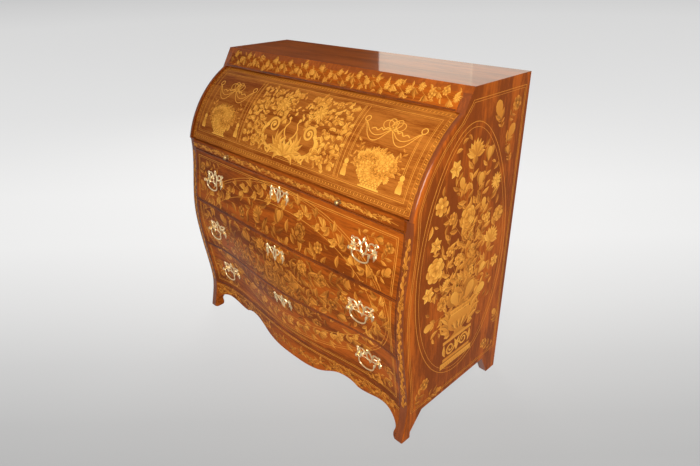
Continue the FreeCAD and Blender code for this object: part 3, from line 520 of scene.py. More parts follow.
class Canvas:
    """A drawing laid on one surface as thin closed sheets that follow it."""

    def __init__(self, inlay, lay, inside):
        self.inlay = inlay
        self.lay = lay
        self.inside = inside
        self.lift = inlay.lift
        self.laid = 0
        self.vertices = []
        self.faces = []
        self.tones = []

    # sheets

    def sheet(self, rows, tone, layer=0, dome=0.0):
        """A sheet over rows of places; rows off the surface cut it into runs."""
        tones = tone if isinstance(tone, tuple) else (tone, tone)
        last = max(1, len(rows) - 1)
        run = []
        for index, row in enumerate(rows):
            hits = [self.lay(p.real, p.imag) if self.inside(p.real, p.imag) else None for p in row]
            if None in hits:
                self.solid(run, layer, dome)
                run = []
            else:
                run.append((hits, tones[0] + (tones[1] - tones[0]) * index / last))
        self.solid(run, layer, dome)

    def solid(self, run, layer, dome):
        if len(run) < 2:
            return
        wide = len(run[0][0])
        first = len(self.vertices)
        count = wide * len(run)
        self.laid += 1
        height = self.lift + layer * self.inlay.layer + self.laid % HEIGHTS * self.inlay.layer / HEIGHTS
        for hits, tone in run:
            for column, (place, facing) in enumerate(hits):
                across = 2 * column / (wide - 1) - 1
                self.vertices.append(place + facing * (height + dome * (1 - across * across)))
                self.tones.append(tone)
        for hits, tone in run:
            for place, facing in hits:
                self.vertices.append(place - facing * self.inlay.sink)
                self.tones.append(tone)
        top = [[first + r * wide + c for c in range(wide)] for r in range(len(run))]
        edge = [top[0][c] for c in range(wide)]
        edge += [row[-1] for row in top[1:]]
        edge += top[-1][-2::-1]
        edge += [row[0] for row in top[-2:0:-1]]
        for above, below in zip(top, top[1:]):
            for c in range(wide - 1):
                face = (above[c], above[c + 1], below[c + 1], below[c])
                self.faces.append(face)
                self.faces.append(tuple(i + count for i in face[::-1]))
        for a, b in zip(edge, edge[1:] + edge[:1]):
            self.faces.append((b, a, a + count, b + count))

    def piece(self, name, body, slot, material, soft=None):
        """The drawing as one object that rides on a body."""
        mesh = bpy.data.meshes.new(name)
        mesh.from_pydata(self.vertices, [], self.faces)
        tidy = bmesh.new()
        tidy.from_mesh(mesh)
        bmesh.ops.recalc_face_normals(tidy, faces=tidy.faces)
        tidy.to_mesh(mesh)
        tidy.free()
        tone = mesh.attributes.new("tone", "FLOAT", "POINT")
        tone.data.foreach_set("value", self.tones)
        if soft:
            mesh.polygons.foreach_set("use_smooth", [True] * len(mesh.polygons))
            mesh.set_sharp_from_angle(angle=soft)
        mesh.materials.append(material)
        obj = bpy.data.objects.new(name, mesh)
        bpy.context.scene.collection.objects.link(obj)
        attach(obj, body)
        return obj

    # strokes

    def stroke(self, points, width, tone, end=None, columns=2, layer=0, dome=0.0, closed=False):
        """A line of even or changing width."""
        count = len(points)
        if closed:
            points = [*points, points[0], points[1]]
        final = width if end is None else end
        rows = []
        for k, p in enumerate(points[: count + 1] if closed else points):
            before = points[k - 1] if k else (points[count - 1] if closed else p)
            after = points[k + 1] if k + 1 < len(points) else p
            run = unit(after - before)
            half = (width + (final - width) * k / max(1, count - 1)) / 2
            rows.append([p + 1j * run * half * (2 * c / (columns - 1) - 1) for c in range(columns)])
        self.sheet(rows, tone, layer, dome)

    def string(self, points, tone, width=None, layer=0):
        """A straight or softly bent line of even width."""
        self.stroke(smooth(points, self.inlay.step), width or self.inlay.string, tone, layer=layer)

    def frame(self, low, high, tone, width):
        """A line along the four sides of a rectangle."""
        around = corners(low, high)
        for k in range(4):
            a, b = around[k], around[(k + 1) % 4]
            run = unit(b - a) * (width / 2)
            self.string([a - run, b + run] if k % 2 else [a + run, b - run], tone, width)

    def dentils(self, points, width, pitch, tone):
        """A row of small slanting blocks."""
        line = smooth(points, pitch)
        for k in range(len(line) - 1):
            run = line[k + 1] - line[k]
            side = 1j * unit(run) * width / 2
            rows = []
            for share in (0.05, 0.55):
                rows.append([line[k] + side * c + run * (share + 0.18 * c) for c in (-1, 1)])
            self.sheet(rows, tone if k % 2 else tone - 0.3)

    # leaves and flowers

    def leaf(self, base, tip, width, tone, bend=0.0, layer=0, dome=0.0):
        """A leaf in two halves along a curved midrib, or in one where it is domed."""
        axis = tip - base
        shares = SMALL_LEAF_SHARES if abs(axis) < SMALL_LEAF else LEAF_SHARES
        rib = [base + axis * share + 1j * axis * bend * 4 * share * (1 - share) for share, _ in shares]
        left, right = [], []
        for k, (p, (_, wide)) in enumerate(zip(rib, shares)):
            side = 1j * heading(rib, k) * width / 2 * wide
            left.append([p + side * RIB_GAP, p + side])
            right.append([p - side, p - side * RIB_GAP])
        if dome:
            whole = [[a, (a + b) / 2, b] for (_, b), (a, _) in zip(left, right)]
            self.sheet(whole, tone, layer, dome)
        else:
            for half, shades in ((left, LIT_HALF), (right, SHADED_HALF)):
                self.sheet(half, (tone + shades[0], tone + shades[1]), layer)

    def petal(self, base, tip, width, tone, layer=0):
        """A petal, broadest past its middle."""
        axis = tip - base
        side = 1j * unit(axis) * width / 2
        rows = [[base + axis * share + side * wide * c for c in (-1, 0, 1)] for share, wide in PETAL_SHARES]
        self.sheet(rows, tone, layer)

    def disc(self, centre, radius, tone, layer=0, dome=0.0, squash=1.0):
        rows = []
        for angle in DISC_ANGLES:
            across, up = radius * math.cos(angle), radius * squash * math.sin(angle)
            rows.append([centre + complex(across * c, up) for c in (-1, -0.4, 0.4, 1)])
        self.sheet(rows, tone, layer, dome)

    def daisy(self, centre, radius, count, turn, tone):
        """Round petals about an eye, with a pointed leaf between each two."""
        for k in range(count):
            way = cmath.rect(radius, turn + math.tau * k / count)
            shade = tone - 0.2 * (k % 2)
            self.petal(centre + way * 0.2, centre + way, radius * 4.3 / count, (shade - 0.5, shade + 0.14))
            inner = way * cmath.rect(0.42, math.pi / count)
            self.leaf(centre, centre + inner, radius * 0.16, tone - 0.3, 0, 1)
        self.disc(centre, radius * 0.2, tone, 2)

    def dahlia(self, centre, radius, turn, tone):
        """Pointed petals in two rings."""
        for ring, (share, count) in enumerate(((1, 13), (0.6, 9))):
            for k in range(count):
                way = cmath.rect(radius * share, turn + math.tau * (k + 0.5 * ring) / count)
                shade = tone + 0.1 * ring - 0.2 * (k % 2)
                self.leaf(centre + way * 0.1, centre + way, radius * share * 4.4 / count, shade, 0, ring)
        self.disc(centre, radius * 0.16, tone - 0.3, 2)

    def star(self, centre, radius, turn, tone):
        """Six pointed petals about a dark eye."""
        for k in range(6):
            way = cmath.rect(radius, turn + math.tau * k / 6)
            self.leaf(centre + way * 0.08, centre + way, radius * 0.66, tone + 0.12 - 0.18 * (k % 2))
        self.disc(centre, radius * 0.2, tone - 0.45, 1)

    def rose(self, centre, radius, turn, tone):
        """Round petals in three rings."""
        for ring, (low, high, count) in enumerate(((0.42, 1, 8), (0.2, 0.7, 6), (0.02, 0.42, 4))):
            for k in range(count):
                way = cmath.rect(radius, turn + math.tau * (k + 0.5 * ring) / count)
                wide = radius * high * 5.0 / count
                shade = tone - 0.2 * (k % 2)
                tones = (shade - 0.55, shade + 0.12)
                self.petal(centre + way * low, centre + way * high, wide, tones, 2 * ring + k % 2)

    def tulip(self, base, tip, width, tone):
        axis = tip - base
        for lean, layer, shade in ((0.34, 0, -0.3), (-0.34, 0, -0.2), (0, 1, 0.05)):
            way = axis * cmath.exp(1j * lean) * (1 if lean else 0.9)
            self.petal(base, base + way, width * 0.6, (tone + shade - 0.4, tone + shade), layer)

    def carnation(self, base, tip, width, tone):
        axis = tip - base
        middle = base + axis * 0.34
        for k in range(9):
            way = axis * 0.68 * cmath.exp(1j * math.radians(-76 + 19 * k)) * (1 - 0.10 * abs(k - 4) / 4)
            self.leaf(middle, middle + way, width * 0.27, tone - 0.14 * (k % 2), 0.02, k % 2)
        self.leaf(base, middle + axis * 0.06, width * 0.36, tone - 0.3, 0, 2)

    def bud(self, base, tip, width, tone):
        axis = tip - base
        self.petal(base, tip, width, (tone - 0.3, tone))
        for lean in (0.75, -0.75):
            self.leaf(base, base + axis * 0.55 * cmath.exp(1j * lean), width * 0.4, tone - 0.2, 0.1 * lean, 1)

    def bloom(self, kind, centre, radius, way, tone, turn):
        """One flower of a kind about a centre, opening along a direction."""
        base, tip = centre - way * radius, centre + way * radius
        if kind == "daisy":
            self.daisy(centre, radius, 7, turn, tone)
        elif kind == "dahlia":
            self.dahlia(centre, radius, turn, tone)
        elif kind == "star":
            self.star(centre, radius, turn, tone)
        elif kind == "rose":
            self.rose(centre, radius, turn, tone)
        elif kind == "tulip":
            self.tulip(base, tip, radius * 1.7, tone)
        elif kind == "carnation":
            self.carnation(base, tip, radius * 2, tone)
        else:
            self.bud(base, tip, radius * 1.2, tone)

    def sprig(self, points, reach, count, tone, rng, broad=0.4):
        """A stem with leaves on alternate sides."""
        line = smooth(points, self.inlay.step)
        self.stroke(line, 0.0018, tone - 0.3, 0.001)
        for k in range(count):
            at = min(len(line) - 2, int((k + 0.6) / count * (len(line) - 1)))
            hand = 1 if k % 2 else -1
            lean = cmath.exp(1j * hand * (SPRIG_LEAN + rng.uniform(-0.25, 0.25)))
            way = unit(line[at + 1] - line[at]) * lean
            size = reach * rng.uniform(0.75, 1.15)
            shade = tone + rng.uniform(-0.22, 0.12)
            self.leaf(line[at], line[at] + way * size, size * broad, shade, 0.08 * hand)

    def scroll(self, centre, radii, angles, widths, tone, layer=0, dome=0.0, columns=2):
        """A spiral band."""
        count = max(8, int(abs(angles[1] - angles[0]) / 0.16))
        points = []
        for k in range(count + 1):
            share = k / count
            radius = radii[0] + (radii[1] - radii[0]) * share
            angle = angles[0] + (angles[1] - angles[0]) * share
            points.append(centre + cmath.rect(radius, angle))
        self.stroke(points, widths[0], tone, widths[1], columns, layer, dome)


# Surfaces


def tree_of(name):
    mesh = NODES[name].data
    return BVHTree.FromPolygons([v.co for v in mesh.vertices], [tuple(p.vertices) for p in mesh.polygons])


def front_of(*names):
    """Places on the front of some solids, by width and height."""
    trees = [tree_of(name) for name in names]
    ahead = CAD_BOX[0][1] - 1
    way = Vector((0, 1, 0))

    def lay(u, v):
        best = None
        for tree in trees:
            place, facing, _, gap = tree.ray_cast(Vector((u, ahead, v)), way)
            if place is not None and (best is None or gap < best[2]):
                best = (place, facing, gap)
        return best and (best[0], best[1] if best[1].y < 0 else -best[1])

    return lay


def side_of(hand):
    """Places on the flat of a side, by depth and height."""
    outside = CAD_BOX[1][0] if hand > 0 else CAD_BOX[0][0]

    def lay(u, v):
        return Vector((outside, u, v)), Vector((hand, 0, 0))

    return lay


# how near to its greatest radius a corner of the fall counts as on its outer face
FALL_SKIN = 0.2 * MM


def fall_face():
    """Places on the fall, by width and by arc from its lower edge."""
    axis = Vector(JOINTS["fall_turn"]["pos_m"])
    spots = []
    for vertex in NODES["cylinder_fall"].data.vertices:
        rise, ahead = vertex.co.z - axis.z, axis.y - vertex.co.y
        spots.append((math.hypot(rise, ahead), math.atan2(rise, ahead)))
    radius = max(reach for reach, _ in spots)
    start = min(angle for reach, angle in spots if radius - reach < FALL_SKIN)

    def lay(u, v):
        angle = start + v / radius
        facing = Vector((0, -math.cos(angle), math.sin(angle)))
        return Vector((u, axis.y, axis.z)) + facing * radius, facing

    return lay


def everywhere(u, v):
    return True


# Drawings

BLOOMS = ("rose", "daisy", "tulip", "carnation", "bud")
FRIEZE_BLOOMS = ("dahlia", "tulip", "bud", "daisy", "dahlia")


def trail(canvas, points, period, reach, rng, bloom_radius, sway, tone, every=4, kinds=BLOOMS):
    """A waving stem along a line, with leaves in its bends and a flower at every few of them."""
    line = smooth(points, period / 12)
    last = len(line) - 1
    stem = []
    ways = []
    travelled = 0.0
    for k, p in enumerate(line):
        ways.append(heading(line, k))
        stem.append(p + 1j * ways[k] * sway * math.sin(travelled / period * math.tau))
        travelled += abs(line[min(k + 1, last)] - p)
    canvas.stroke(stem, 0.0017, tone - 0.25)
    turns = int(travelled / period * 4)
    for k in range(turns):
        at = min(last, int((k + 0.5) / turns * last))
        way = ways[at]
        hand = 1 if k % 2 else -1
        root = stem[at]
        for lean in (0.55, 1.25):
            size = reach * rng.uniform(0.7, 1.1)
            tip = root + way * cmath.exp(1j * hand * lean) * size
            canvas.leaf(root, tip, size * 0.48, tone + rng.uniform(-0.3, 0.15), 0.2 * hand)
        if k % every == 1:
            centre = root + 1j * way * hand * bloom_radius * 0.6
            size = bloom_radius * rng.uniform(0.85, 1.15)
            canvas.bloom(rng.choice(kinds), centre, size, way, tone + 0.2, rng.random() * 6)


def bouquet(canvas, rng, mouth, flowers, reach, leaves, tone):
    """Stems from a mouth to flowers, with leaves along them."""
    for kind, u, v, radius in flowers:
        centre = spot(u, v)
        away = centre - mouth
        bend = 1j * away * rng.uniform(-0.16, 0.16)
        way = unit(away - bend * 1.2)
        end = centre - way * radius * MM * 0.8
        count = max(2, int(abs(away) / reach * leaves))
        canvas.sprig([mouth, mouth + away * 0.5 + bend, end], reach, count, tone - 0.06, rng)
        canvas.bloom(kind, centre, radius * MM, way, tone + rng.uniform(0.05, 0.3), rng.random() * 6)


def scatter(canvas, rng, low, high, inside, taken, count, reach, tone, broad=0.42):
    """Loose leaves in the spaces between flowers, clear of each other."""
    laid = []
    for _ in range(count):
        at = complex(rng.uniform(low.real, high.real), rng.uniform(low.imag, high.imag))
        way = cmath.rect(reach * rng.uniform(0.6, 1.2), rng.uniform(0, math.tau))
        size = abs(way)
        shade = tone + rng.uniform(-0.25, 0.2)
        if not inside(at) or any(abs(at - p) < size * 0.6 for p in laid):
            continue
        if any(abs(at - spot(u, v)) < radius * MM + size * 0.35 for _, u, v, radius in taken):
            continue
        laid.append(at)
        canvas.leaf(at - way / 2, at + way / 2, size * broad, shade, 0.1)


def flowered_sprig(canvas, points, reach, tones, flower, hand, rng):
    """Short stem with leaves and a flower at its end."""
    canvas.sprig(points, reach, 5, tones[0], rng)
    kind, u, v, radius = flower
    way = unit(points[-1] - points[-2])
    canvas.bloom(kind, spot(hand * u, v), radius * MM, way, tones[1], rng.random() * 6)


# fall

FALL_DIVISIONS = (247, 252, 266)
SWAGGED_MIDDLE = 392
BOW_LOOPS = ((0.3, 42), (math.pi - 0.3, 42), (0.95, 34), (math.pi - 0.95, 34), (1.45, 24))
RIBBON_TAIL = ((4, -6), (18, -4), (28, -14), (38, -8), (48, -18), (60, -12), (72, -18))
BASKET_FOOT = 46
BASKET_FLOWERS = 44
BASKET_KINDS = ("dahlia", "daisy", "rose", "carnation")
BASKET_SPRIGS = (
    (((60, 128), (78, 150), (84, 176)), 0.017, 6, 0.75),
    (((66, 100), (84, 108), (94, 128)), 0.015, 5, 0.7),
)
GOLDEN_ANGLE = 2.399963


def bow_and_swags(canvas, middle):
    """Ribbon bow, swags from it to two rings, and a tassel below each ring."""
    knot = spot(middle, 230)
    for turn, size in BOW_LOOPS:
        loop = []
        for k in range(17):
            angle = math.tau * k / 16
            bow = complex(0.5 - 0.5 * math.cos(angle), 0.36 * math.sin(angle))
            loop.append(knot + cmath.rect(size * MM, turn) * bow)
        canvas.stroke(loop, 0.0034, (0.6, 0.9), 0.0028)
    canvas.daisy(knot, 0.012, 6, 0.3, 0.85)
    for side in (-1, 1):
        tail = [knot + spot(u * side, v) for u, v in RIBBON_TAIL]
        canvas.stroke(smooth(tail, 0.004), 0.004, 0.85, 0.003)
        ring = spot(middle + 106 * side, 242)
        canvas.stroke(oval(ring, 0.0095, 0.0095, 14), 0.0032, 0.85, closed=True)
        hook = ring - 0.009j
        for sag in (40, 58):
            way = [knot + spot(3 * side, -10)]
            for k in range(1, 8):
                share = k / 8
                p = knot + (ring - knot) * share
                way.append(p - 1j * MM * sag * 4 * share * (1 - share))
            way.append(hook)
            canvas.stroke(smooth(way, 0.006), 0.0026, 0.8)
        tassel = spot(middle + 108 * side, 98)
        for gap in (-3, 3):
            canvas.stroke(smooth([hook + gap * 0.0006, tassel + gap * MM], 0.006), 0.0016, 0.62)
        canvas.disc(tassel, 0.0085, 0.9, 1)
        canvas.disc(tassel - 0.012j, 0.0095, 0.72, 1, squash=0.5)
        for k in range(-2, 3):
            root = tassel + spot(k * 2.6, -14)
            canvas.petal(root, root + spot(k * 1.8, -30), 0.0068, (0.62, 1.0), 2 + k % 2)


def basket(canvas, middle, rng):
    """Woven basket, wider at its rim, with a heap of flowers and leaves."""
    for row in range(6):
        for column in range(-6, 6):
            wide = (33 + 20 * (row / 6)) / 6
            low = spot(middle + column * wide, BASKET_FOOT + row * 6.6)
            cell = [[low, low + wide * MM * 0.86], [low + 0.0056j, low + wide * MM * 0.86 + 0.0056j]]
            canvas.sheet(cell, 0.98 if (row + column) % 2 else 0.62)
    for half, rise, wide, tone in ((40, -3, 0.005, 0.95), (58, 43, 0.006, 0.98)):
        at = about(middle, BASKET_FOOT + rise)
        canvas.stroke(smooth([at(-half, 0), at(half, 0)], 0.006), wide, tone)
    for k in range(34):
        angle = math.radians(-16 + 212 * k / 33)
        root = spot(middle + 66 * math.cos(angle), 106 + 44 * math.sin(angle))
        way = cmath.rect(rng.uniform(12, 20) * MM, angle + rng.uniform(-0.6, 0.6))
        canvas.leaf(root, root + way, 0.009, 0.62 + rng.uniform(-0.25, 0.25), 0.1)
    for k in range(BASKET_FLOWERS):
        angle = k * GOLDEN_ANGLE
        reach = math.sqrt((k + 0.5) / BASKET_FLOWERS)
        u = middle + 70 * reach * math.cos(angle)
        v = 108 + 46 * reach * math.sin(angle)
        way = cmath.exp(1j * math.atan2(v - 80, u - middle))
        kind = BASKET_KINDS[k % len(BASKET_KINDS)]
        canvas.bloom(kind, spot(u, v), (15 - 2 * reach) * MM, way, 0.82 + 0.2 * (k % 2), k)
    for side in (-1, 1):
        at = about(middle, 0, side)
        for path, reach, count, tone in BASKET_SPRIGS:
            canvas.sprig([at(u, v) for u, v in path], reach, count, tone, rng)


CENTRE_FLOWERS = (
    ("dahlia", 92, 217, 30), ("daisy", 174, 72, 17), ("tulip", 226, 262, 13), ("bud", 225, 178, 13),
    ("daisy", 150, 262, 14), ("tulip", 215, 110, 13), ("bud", 222, 60, 12), ("rose", 178, 205, 14),
    ("carnation", 40, 262, 15), ("daisy", 168, 152, 12), ("bud", 132, 232, 11), ("tulip", 60, 168, 12),
)
# places that the scrolls and the plume take up
CENTRE_CLEAR = (("", 95, 140, 42), ("", 40, 96, 56), ("", 110, 80, 26), ("", 0, 150, 34))
CENTRE_SPRAYS = (
    ((108, 74), (150, 110), (165, 180), (140, 262)),
    ((108, 74), (172, 96), (210, 160), (206, 264)),
    ((108, 74), (160, 64), (214, 78), (236, 140), (236, 210)),
    ((54, 150), (74, 190), (52, 236), (84, 272)),
    ((96, 172), (120, 200), (112, 240), (60, 274)),
)


def centre_panel(canvas, rng):
    """Flaming plume between scrolls, with sprays of flowers to both sides."""
    foot = spot(0, 50)
    for side in (-1, 1):
        for k in range(12):
            size = (98 if k % 2 else 70) - 0.7 * (k - 3) ** 2
            tip = foot + cmath.rect(size * MM, math.radians(90 - side * (9 + k * 9.5)))
            root = foot + (tip - foot) * 0.12
            canvas.leaf(root, tip, 0.0175, 1.08 - 0.28 * (k % 2), 0.07 * side * (k - 6), 2 + k % 2)
        for k in range(5):
            tip = foot + cmath.rect((58 - 5 * k) * MM, math.radians(90 - side * (16 + k * 17)))
            canvas.leaf(foot, tip, 0.016, 1.1 - 0.3 * (k % 2), 0.05 * side, 4 + k % 2)
    for side in (-1, 1):
        at = about(0, 0, side)
        turn = 0 if side > 0 else math.pi
        canvas.scroll(at(90, 140), (0.027, 0.007), (turn, turn + side * 9.5), (0.011, 0.004), (0.8, 0.98), 1)
        canvas.disc(at(90, 140), 0.006, 0.98, 2)
        arm = smooth([at(117, 141), at(134, 118), at(128, 88), at(100, 66), at(62, 58), at(24, 52)], 0.005)
        canvas.stroke(arm, 0.015, (0.98, 0.75), 0.007)
        canvas.scroll(at(84, 60), (0.016, 0.004), (turn, turn - side * 7), (0.006, 0.003), 0.9, 1)
        lyre = [at(8, 104), at(24, 120), at(30, 142), at(20, 160), at(24, 172)]
        canvas.stroke(smooth(lyre, 0.004), 0.006, (0.8, 0.98), 0.0035, layer=1)
        canvas.disc(at(25, 175), 0.006, 0.95, 2)
        for k, share in enumerate((0.1, 0.3, 0.5, 0.7, 0.9)):
            p = arm[int(share * (len(arm) - 1))]
            away = unit(p - at(60, 110))
            canvas.leaf(p, p + away * (26 - 2 * k) * MM, 0.010, 0.85, 0.15 * side, 1)
        for path in CENTRE_SPRAYS:
            canvas.sprig([at(u, v) for u, v in path], 0.023, 15, 0.88, rng, 0.6)
        for kind, u, v, radius in CENTRE_FLOWERS:
            way = unit(at(u, v) - at(108, 90))
            canvas.bloom(kind, at(u, v), radius * MM, way, 0.92, rng.random() * 6)
        taken = [(kind, side * u, v, radius) for kind, u, v, radius in CENTRE_FLOWERS + CENTRE_CLEAR]

        def room(p):
            return 8 * MM < side * p.real < 240 * MM

        low, high = spot(min(0, side * 242), 44), spot(max(0, side * 242), 280)
        scatter(canvas, rng, low, high, room, taken, 300, 0.019, 0.88, 0.6)


def fall_drawing(canvas, rng):
    """Borders of the fall, its divisions and the swagged panels at both ends."""
    for inset, wide, tone in ((0, 0.0015, 0.5), (13, 0.0013, 0.5), (28, 0.0018, 0.62), (33, 0.0012, 0.5)):
        canvas.frame(spot(inset - 556, 8 + inset), spot(556 - inset, 319 - inset), tone, wide)
    for v in (14.5, 312.5):
        canvas.dentils([spot(-549, v), spot(549, v)], 0.0075, 0.0068, 0.58)
    for u in (-549.5, 549.5):
        canvas.dentils([spot(u, 20), spot(u, 307)], 0.0075, 0.0068, 0.58)
    for hand in (-1, 1):
        for u in FALL_DIVISIONS:
            canvas.string([spot(hand * u, 43), spot(hand * u, 284)], 0.7, 0.0016, 1)
        bow_and_swags(canvas, SWAGGED_MIDDLE * hand)
        basket(canvas, SWAGGED_MIDDLE * hand, rng)


# swelling front

OVAL_MIDDLE = spot(0, 450)
OVAL_OUTER = (520, 288)
OVAL_SECOND = (509, 279)
OVAL_TRAIL = (484, 250)
OVAL_INNER = (456, 218)
FRONT_FLOWERS = (
    ("tulip", 8, 640, 24), ("rose", 122, 622, 27), ("daisy", 214, 594, 20), ("carnation", -112, 614, 27),
    ("daisy", -214, 590, 20), ("tulip", -190, 500, 27), ("bud", 358, 520, 26), ("bud", -352, 510, 26),
    ("rose", 232, 484, 25), ("daisy", 275, 404, 21), ("rose", 141, 500, 24), ("rose", 20, 500, 34),
    ("carnation", -90, 500, 26), ("daisy", -282, 430, 22), ("rose", -225, 400, 24), ("tulip", 96, 404, 24),
    ("rose", -30, 390, 27), ("daisy", -120, 388, 19), ("bud", 182, 372, 18), ("daisy", 178, 276, 18),
    ("tulip", 310, 370, 20), ("rose", 90, 295, 25), ("daisy", -80, 290, 21), ("rose", -185, 288, 20),
    ("tulip", 0, 272, 20), ("daisy", -330, 372, 18), ("bud", 395, 440, 19), ("bud", -395, 440, 19),
    ("daisy", 330, 452, 17), ("daisy", -330, 458, 16), ("bud", 60, 566, 15), ("bud", -50, 570, 15),
)
CORNER_SPRIGS = (
    (((372, 712), (410, 700), (452, 704)), ("tulip", 462, 704, 15)),
    (((470, 640), (490, 660), (498, 684)), ("daisy", 499, 690, 17)),
    (((452, 592), (484, 596), (500, 612)), ("bud", 502, 618, 17)),
    (((440, 190), (470, 180), (490, 184)), ("daisy", 496, 186, 15)),
    (((380, 158), (410, 166), (436, 158)), ("bud", 446, 156, 14)),
    (((478, 250), (496, 240), (500, 226)), ("bud", 500, 218, 13)),
)


def oval_path(half, count):
    """Points round one of the great ovals."""
    return oval(OVAL_MIDDLE, half[0] * MM, half[1] * MM, count)


def front_drawing(canvas):
    """One composition over all the drawers: a great oval with its trail, and a bouquet inside it."""
    rng = random.Random(23)
    for half, wide in ((OVAL_OUTER, 0.0022), (OVAL_SECOND, 0.0014), (OVAL_INNER, 0.0020)):
        canvas.stroke(oval_path(half, 360), wide, 0.6, closed=True)
    for inset, wide in ((20, 0.0022), (26, 0.0014)):
        canvas.frame(spot(inset - 548, 127 + inset), spot(548 - inset, 751 - inset), 0.62, wide)
    path = oval_path(OVAL_TRAIL, 48)
    trail(canvas, path + path[:1], 0.088, 0.036, rng, 0.014, 0.012, 0.64)
    bouquet(canvas, rng, spot(0, 352), FRONT_FLOWERS, 0.040, 1.5, 0.48)

    def room(p):
        away = p - OVAL_MIDDLE
        across = away.real / (OVAL_INNER[0] * MM - 0.014)
        up = away.imag / (OVAL_INNER[1] * MM - 0.012)
        return across**2 + up**2 < 1

    low, high = OVAL_MIDDLE - spot(*OVAL_INNER), OVAL_MIDDLE + spot(*OVAL_INNER)
    scatter(canvas, rng, low, high, room, FRONT_FLOWERS, 620, 0.040, 0.42)
    for hand in (-1, 1):
        for path, flower in CORNER_SPRIGS:
            points = [spot(hand * u, v) for u, v in path]
            flowered_sprig(canvas, points, 0.026, (0.6, 0.66), flower, hand, rng)


# sides

SIDE_OVAL = (12, 585, 230, 428)
SIDE_FLOWERS = (
    ("carnation", 27, 925, 38), ("tulip", 98, 905, 24), ("star", -65, 896, 28), ("tulip", 65, 834, 24),
    ("dahlia", 153, 803, 28), ("bud", -28, 842, 22), ("daisy", -120, 802, 30), ("bud", 93, 746, 20),
    ("rose", 185, 682, 27), ("rose", 13, 727, 38), ("daisy", -63, 746, 20), ("carnation", 156, 608, 38),
    ("star", -136, 685, 27), ("daisy", -66, 641, 18), ("rose", -18, 594, 21), ("bud", 52, 600, 24),
    ("star", 193, 505, 24), ("rose", -133, 602, 42), ("star", -160, 530, 28), ("bud", 118, 428, 30),
    ("rose", -84, 466, 28), ("bud", -148, 408, 24), ("tulip", 120, 512, 24), ("daisy", 52, 530, 18),
    ("carnation", -74, 528, 20), ("daisy", 120, 690, 18), ("tulip", 56, 456, 40), ("tulip", -20, 452, 38),
)
SIDE_SPRIGS = (
    (((150, 968), (146, 984), (140, 1000)), ("bud", 129, 1024, 30)),
    (((190, 985), (204, 1002), (214, 1014)), ("daisy", 224, 1028, 22)),
    (((182, 908), (190, 920), (198, 930)), ("bud", 206, 944, 28)),
    (((214, 850), (208, 866), (203, 880)), ("tulip", 199, 890, 16)),
    (((-205, 128), (-180, 152), (-160, 176)), ("daisy", -154, 186, 22)),
    (((-140, 112), (-112, 116), (-84, 112)), ("bud", -74, 111, 16)),
    (((250, 120), (222, 134), (198, 152)), ("daisy", 188, 160, 20)),
    (((262, 220), (250, 240), (240, 262)), ("bud", 236, 272, 18)),
)
URN_BOWL = (
    (0, 42), (6, 36), (12, 22), (20, 24), (30, 44), (44, 60),
    (60, 66), (76, 62), (88, 52), (96, 50), (104, 58), (110, 61),
)
URN_LEAVES = ((52, 22, 98, 44), (58, 40, 112, 72), (62, 62, 106, 104), (60, 84, 84, 118), (48, 14, 78, 16))
URN_HANDLE = ((60, 34), (92, 44), (100, 78), (84, 98), (66, 92))
PLINTH_STEPS = ((0, 22, 86, 0.66), (26, 38, 74, 0.52), (98, 110, 78, 0.64))
# places that the urn and its plinth take up
URN_CLEAR = (("", 14, 360, 96), ("", 14, 250, 95))
# heights of the lowest and highest line on a side, and where the line along its front edge is broken
SIDE_LOW, SIDE_TOP = 0.086, 1.092
EDGE_BREAKS = ((0.745, 0.805), (1.02, 1.06))
SIDE_LINE_TONE = 0.54


def egg(inset, count):
    """Points round the side's oval, narrower at its top."""
    u, v, wide, high = SIDE_OVAL
    points = []
    for k in range(count):
        angle = math.tau * k / count
        rise = math.sin(angle)
        taper = 1 - 0.10 * rise - 0.06 * rise * rise
        points.append(spot(u + (wide - inset) * math.cos(angle) * taper, v + (high - inset) * rise))
    return points


def urn(canvas, u, v):
    """Fluted urn with leafy handles, about the middle of its foot."""
    at = about(u, v)
    canvas.sheet([[at(half * c, height) for c in ACROSS] for height, half in URN_BOWL], (0.40, 0.66))
    for k in range(-3, 4):
        canvas.leaf(at(k * 5, 22), at(k * 15, 58), 0.013, 0.82 - 0.4 * (k % 2), -0.02 * k, 1)
        canvas.petal(at(k * 13, 92), at(k * 15, 108), 0.011, (0.4, 0.8), 2 + k % 2)
    canvas.stroke(smooth([at(-50, 92), at(50, 92)], 0.006), 0.004, 0.8, layer=4)
    for side in (-1, 1):
        at = about(u, v, side)
        canvas.stroke(smooth([at(a, b) for a, b in URN_HANDLE], 0.005), 0.009, 0.6, 0.004)
        for k, (a, b, c, d) in enumerate(URN_LEAVES):
            canvas.leaf(at(a, b), at(c, d), 0.024, 0.74 - 0.1 * (k % 2), 0.15 * side, 1 + k % 3)


def plinth(canvas, u, v):
    """Panelled plinth with scrolls and a stepped base."""
    at = about(u, v)
    for low, high, half, tone in PLINTH_STEPS:
        heights = (low, (low + high) / 2, high)
        canvas.sheet([[at(half * c, height) for c in ACROSS] for height in heights], tone)
    for side in (-1, 1):
        at = about(u, v, side)
        canvas.scroll(at(36, 68), (0.024, 0.005), (0, side * 10), (0.008, 0.003), (0.65, 0.9))
        canvas.leaf(at(62, 44), at(70, 96), 0.016, 0.8, -0.1 * side)
        canvas.leaf(at(4, 42), at(14, 94), 0.014, 0.85, 0.1 * side)
    at = about(u, v)
    canvas.daisy(at(0, 68), 0.014, 7, 0, 0.9)
    for k in range(-7, 8):
        canvas.petal(at(k * 11, 3), at(k * 11, 19), 0.008, (0.4, 0.95), 1)


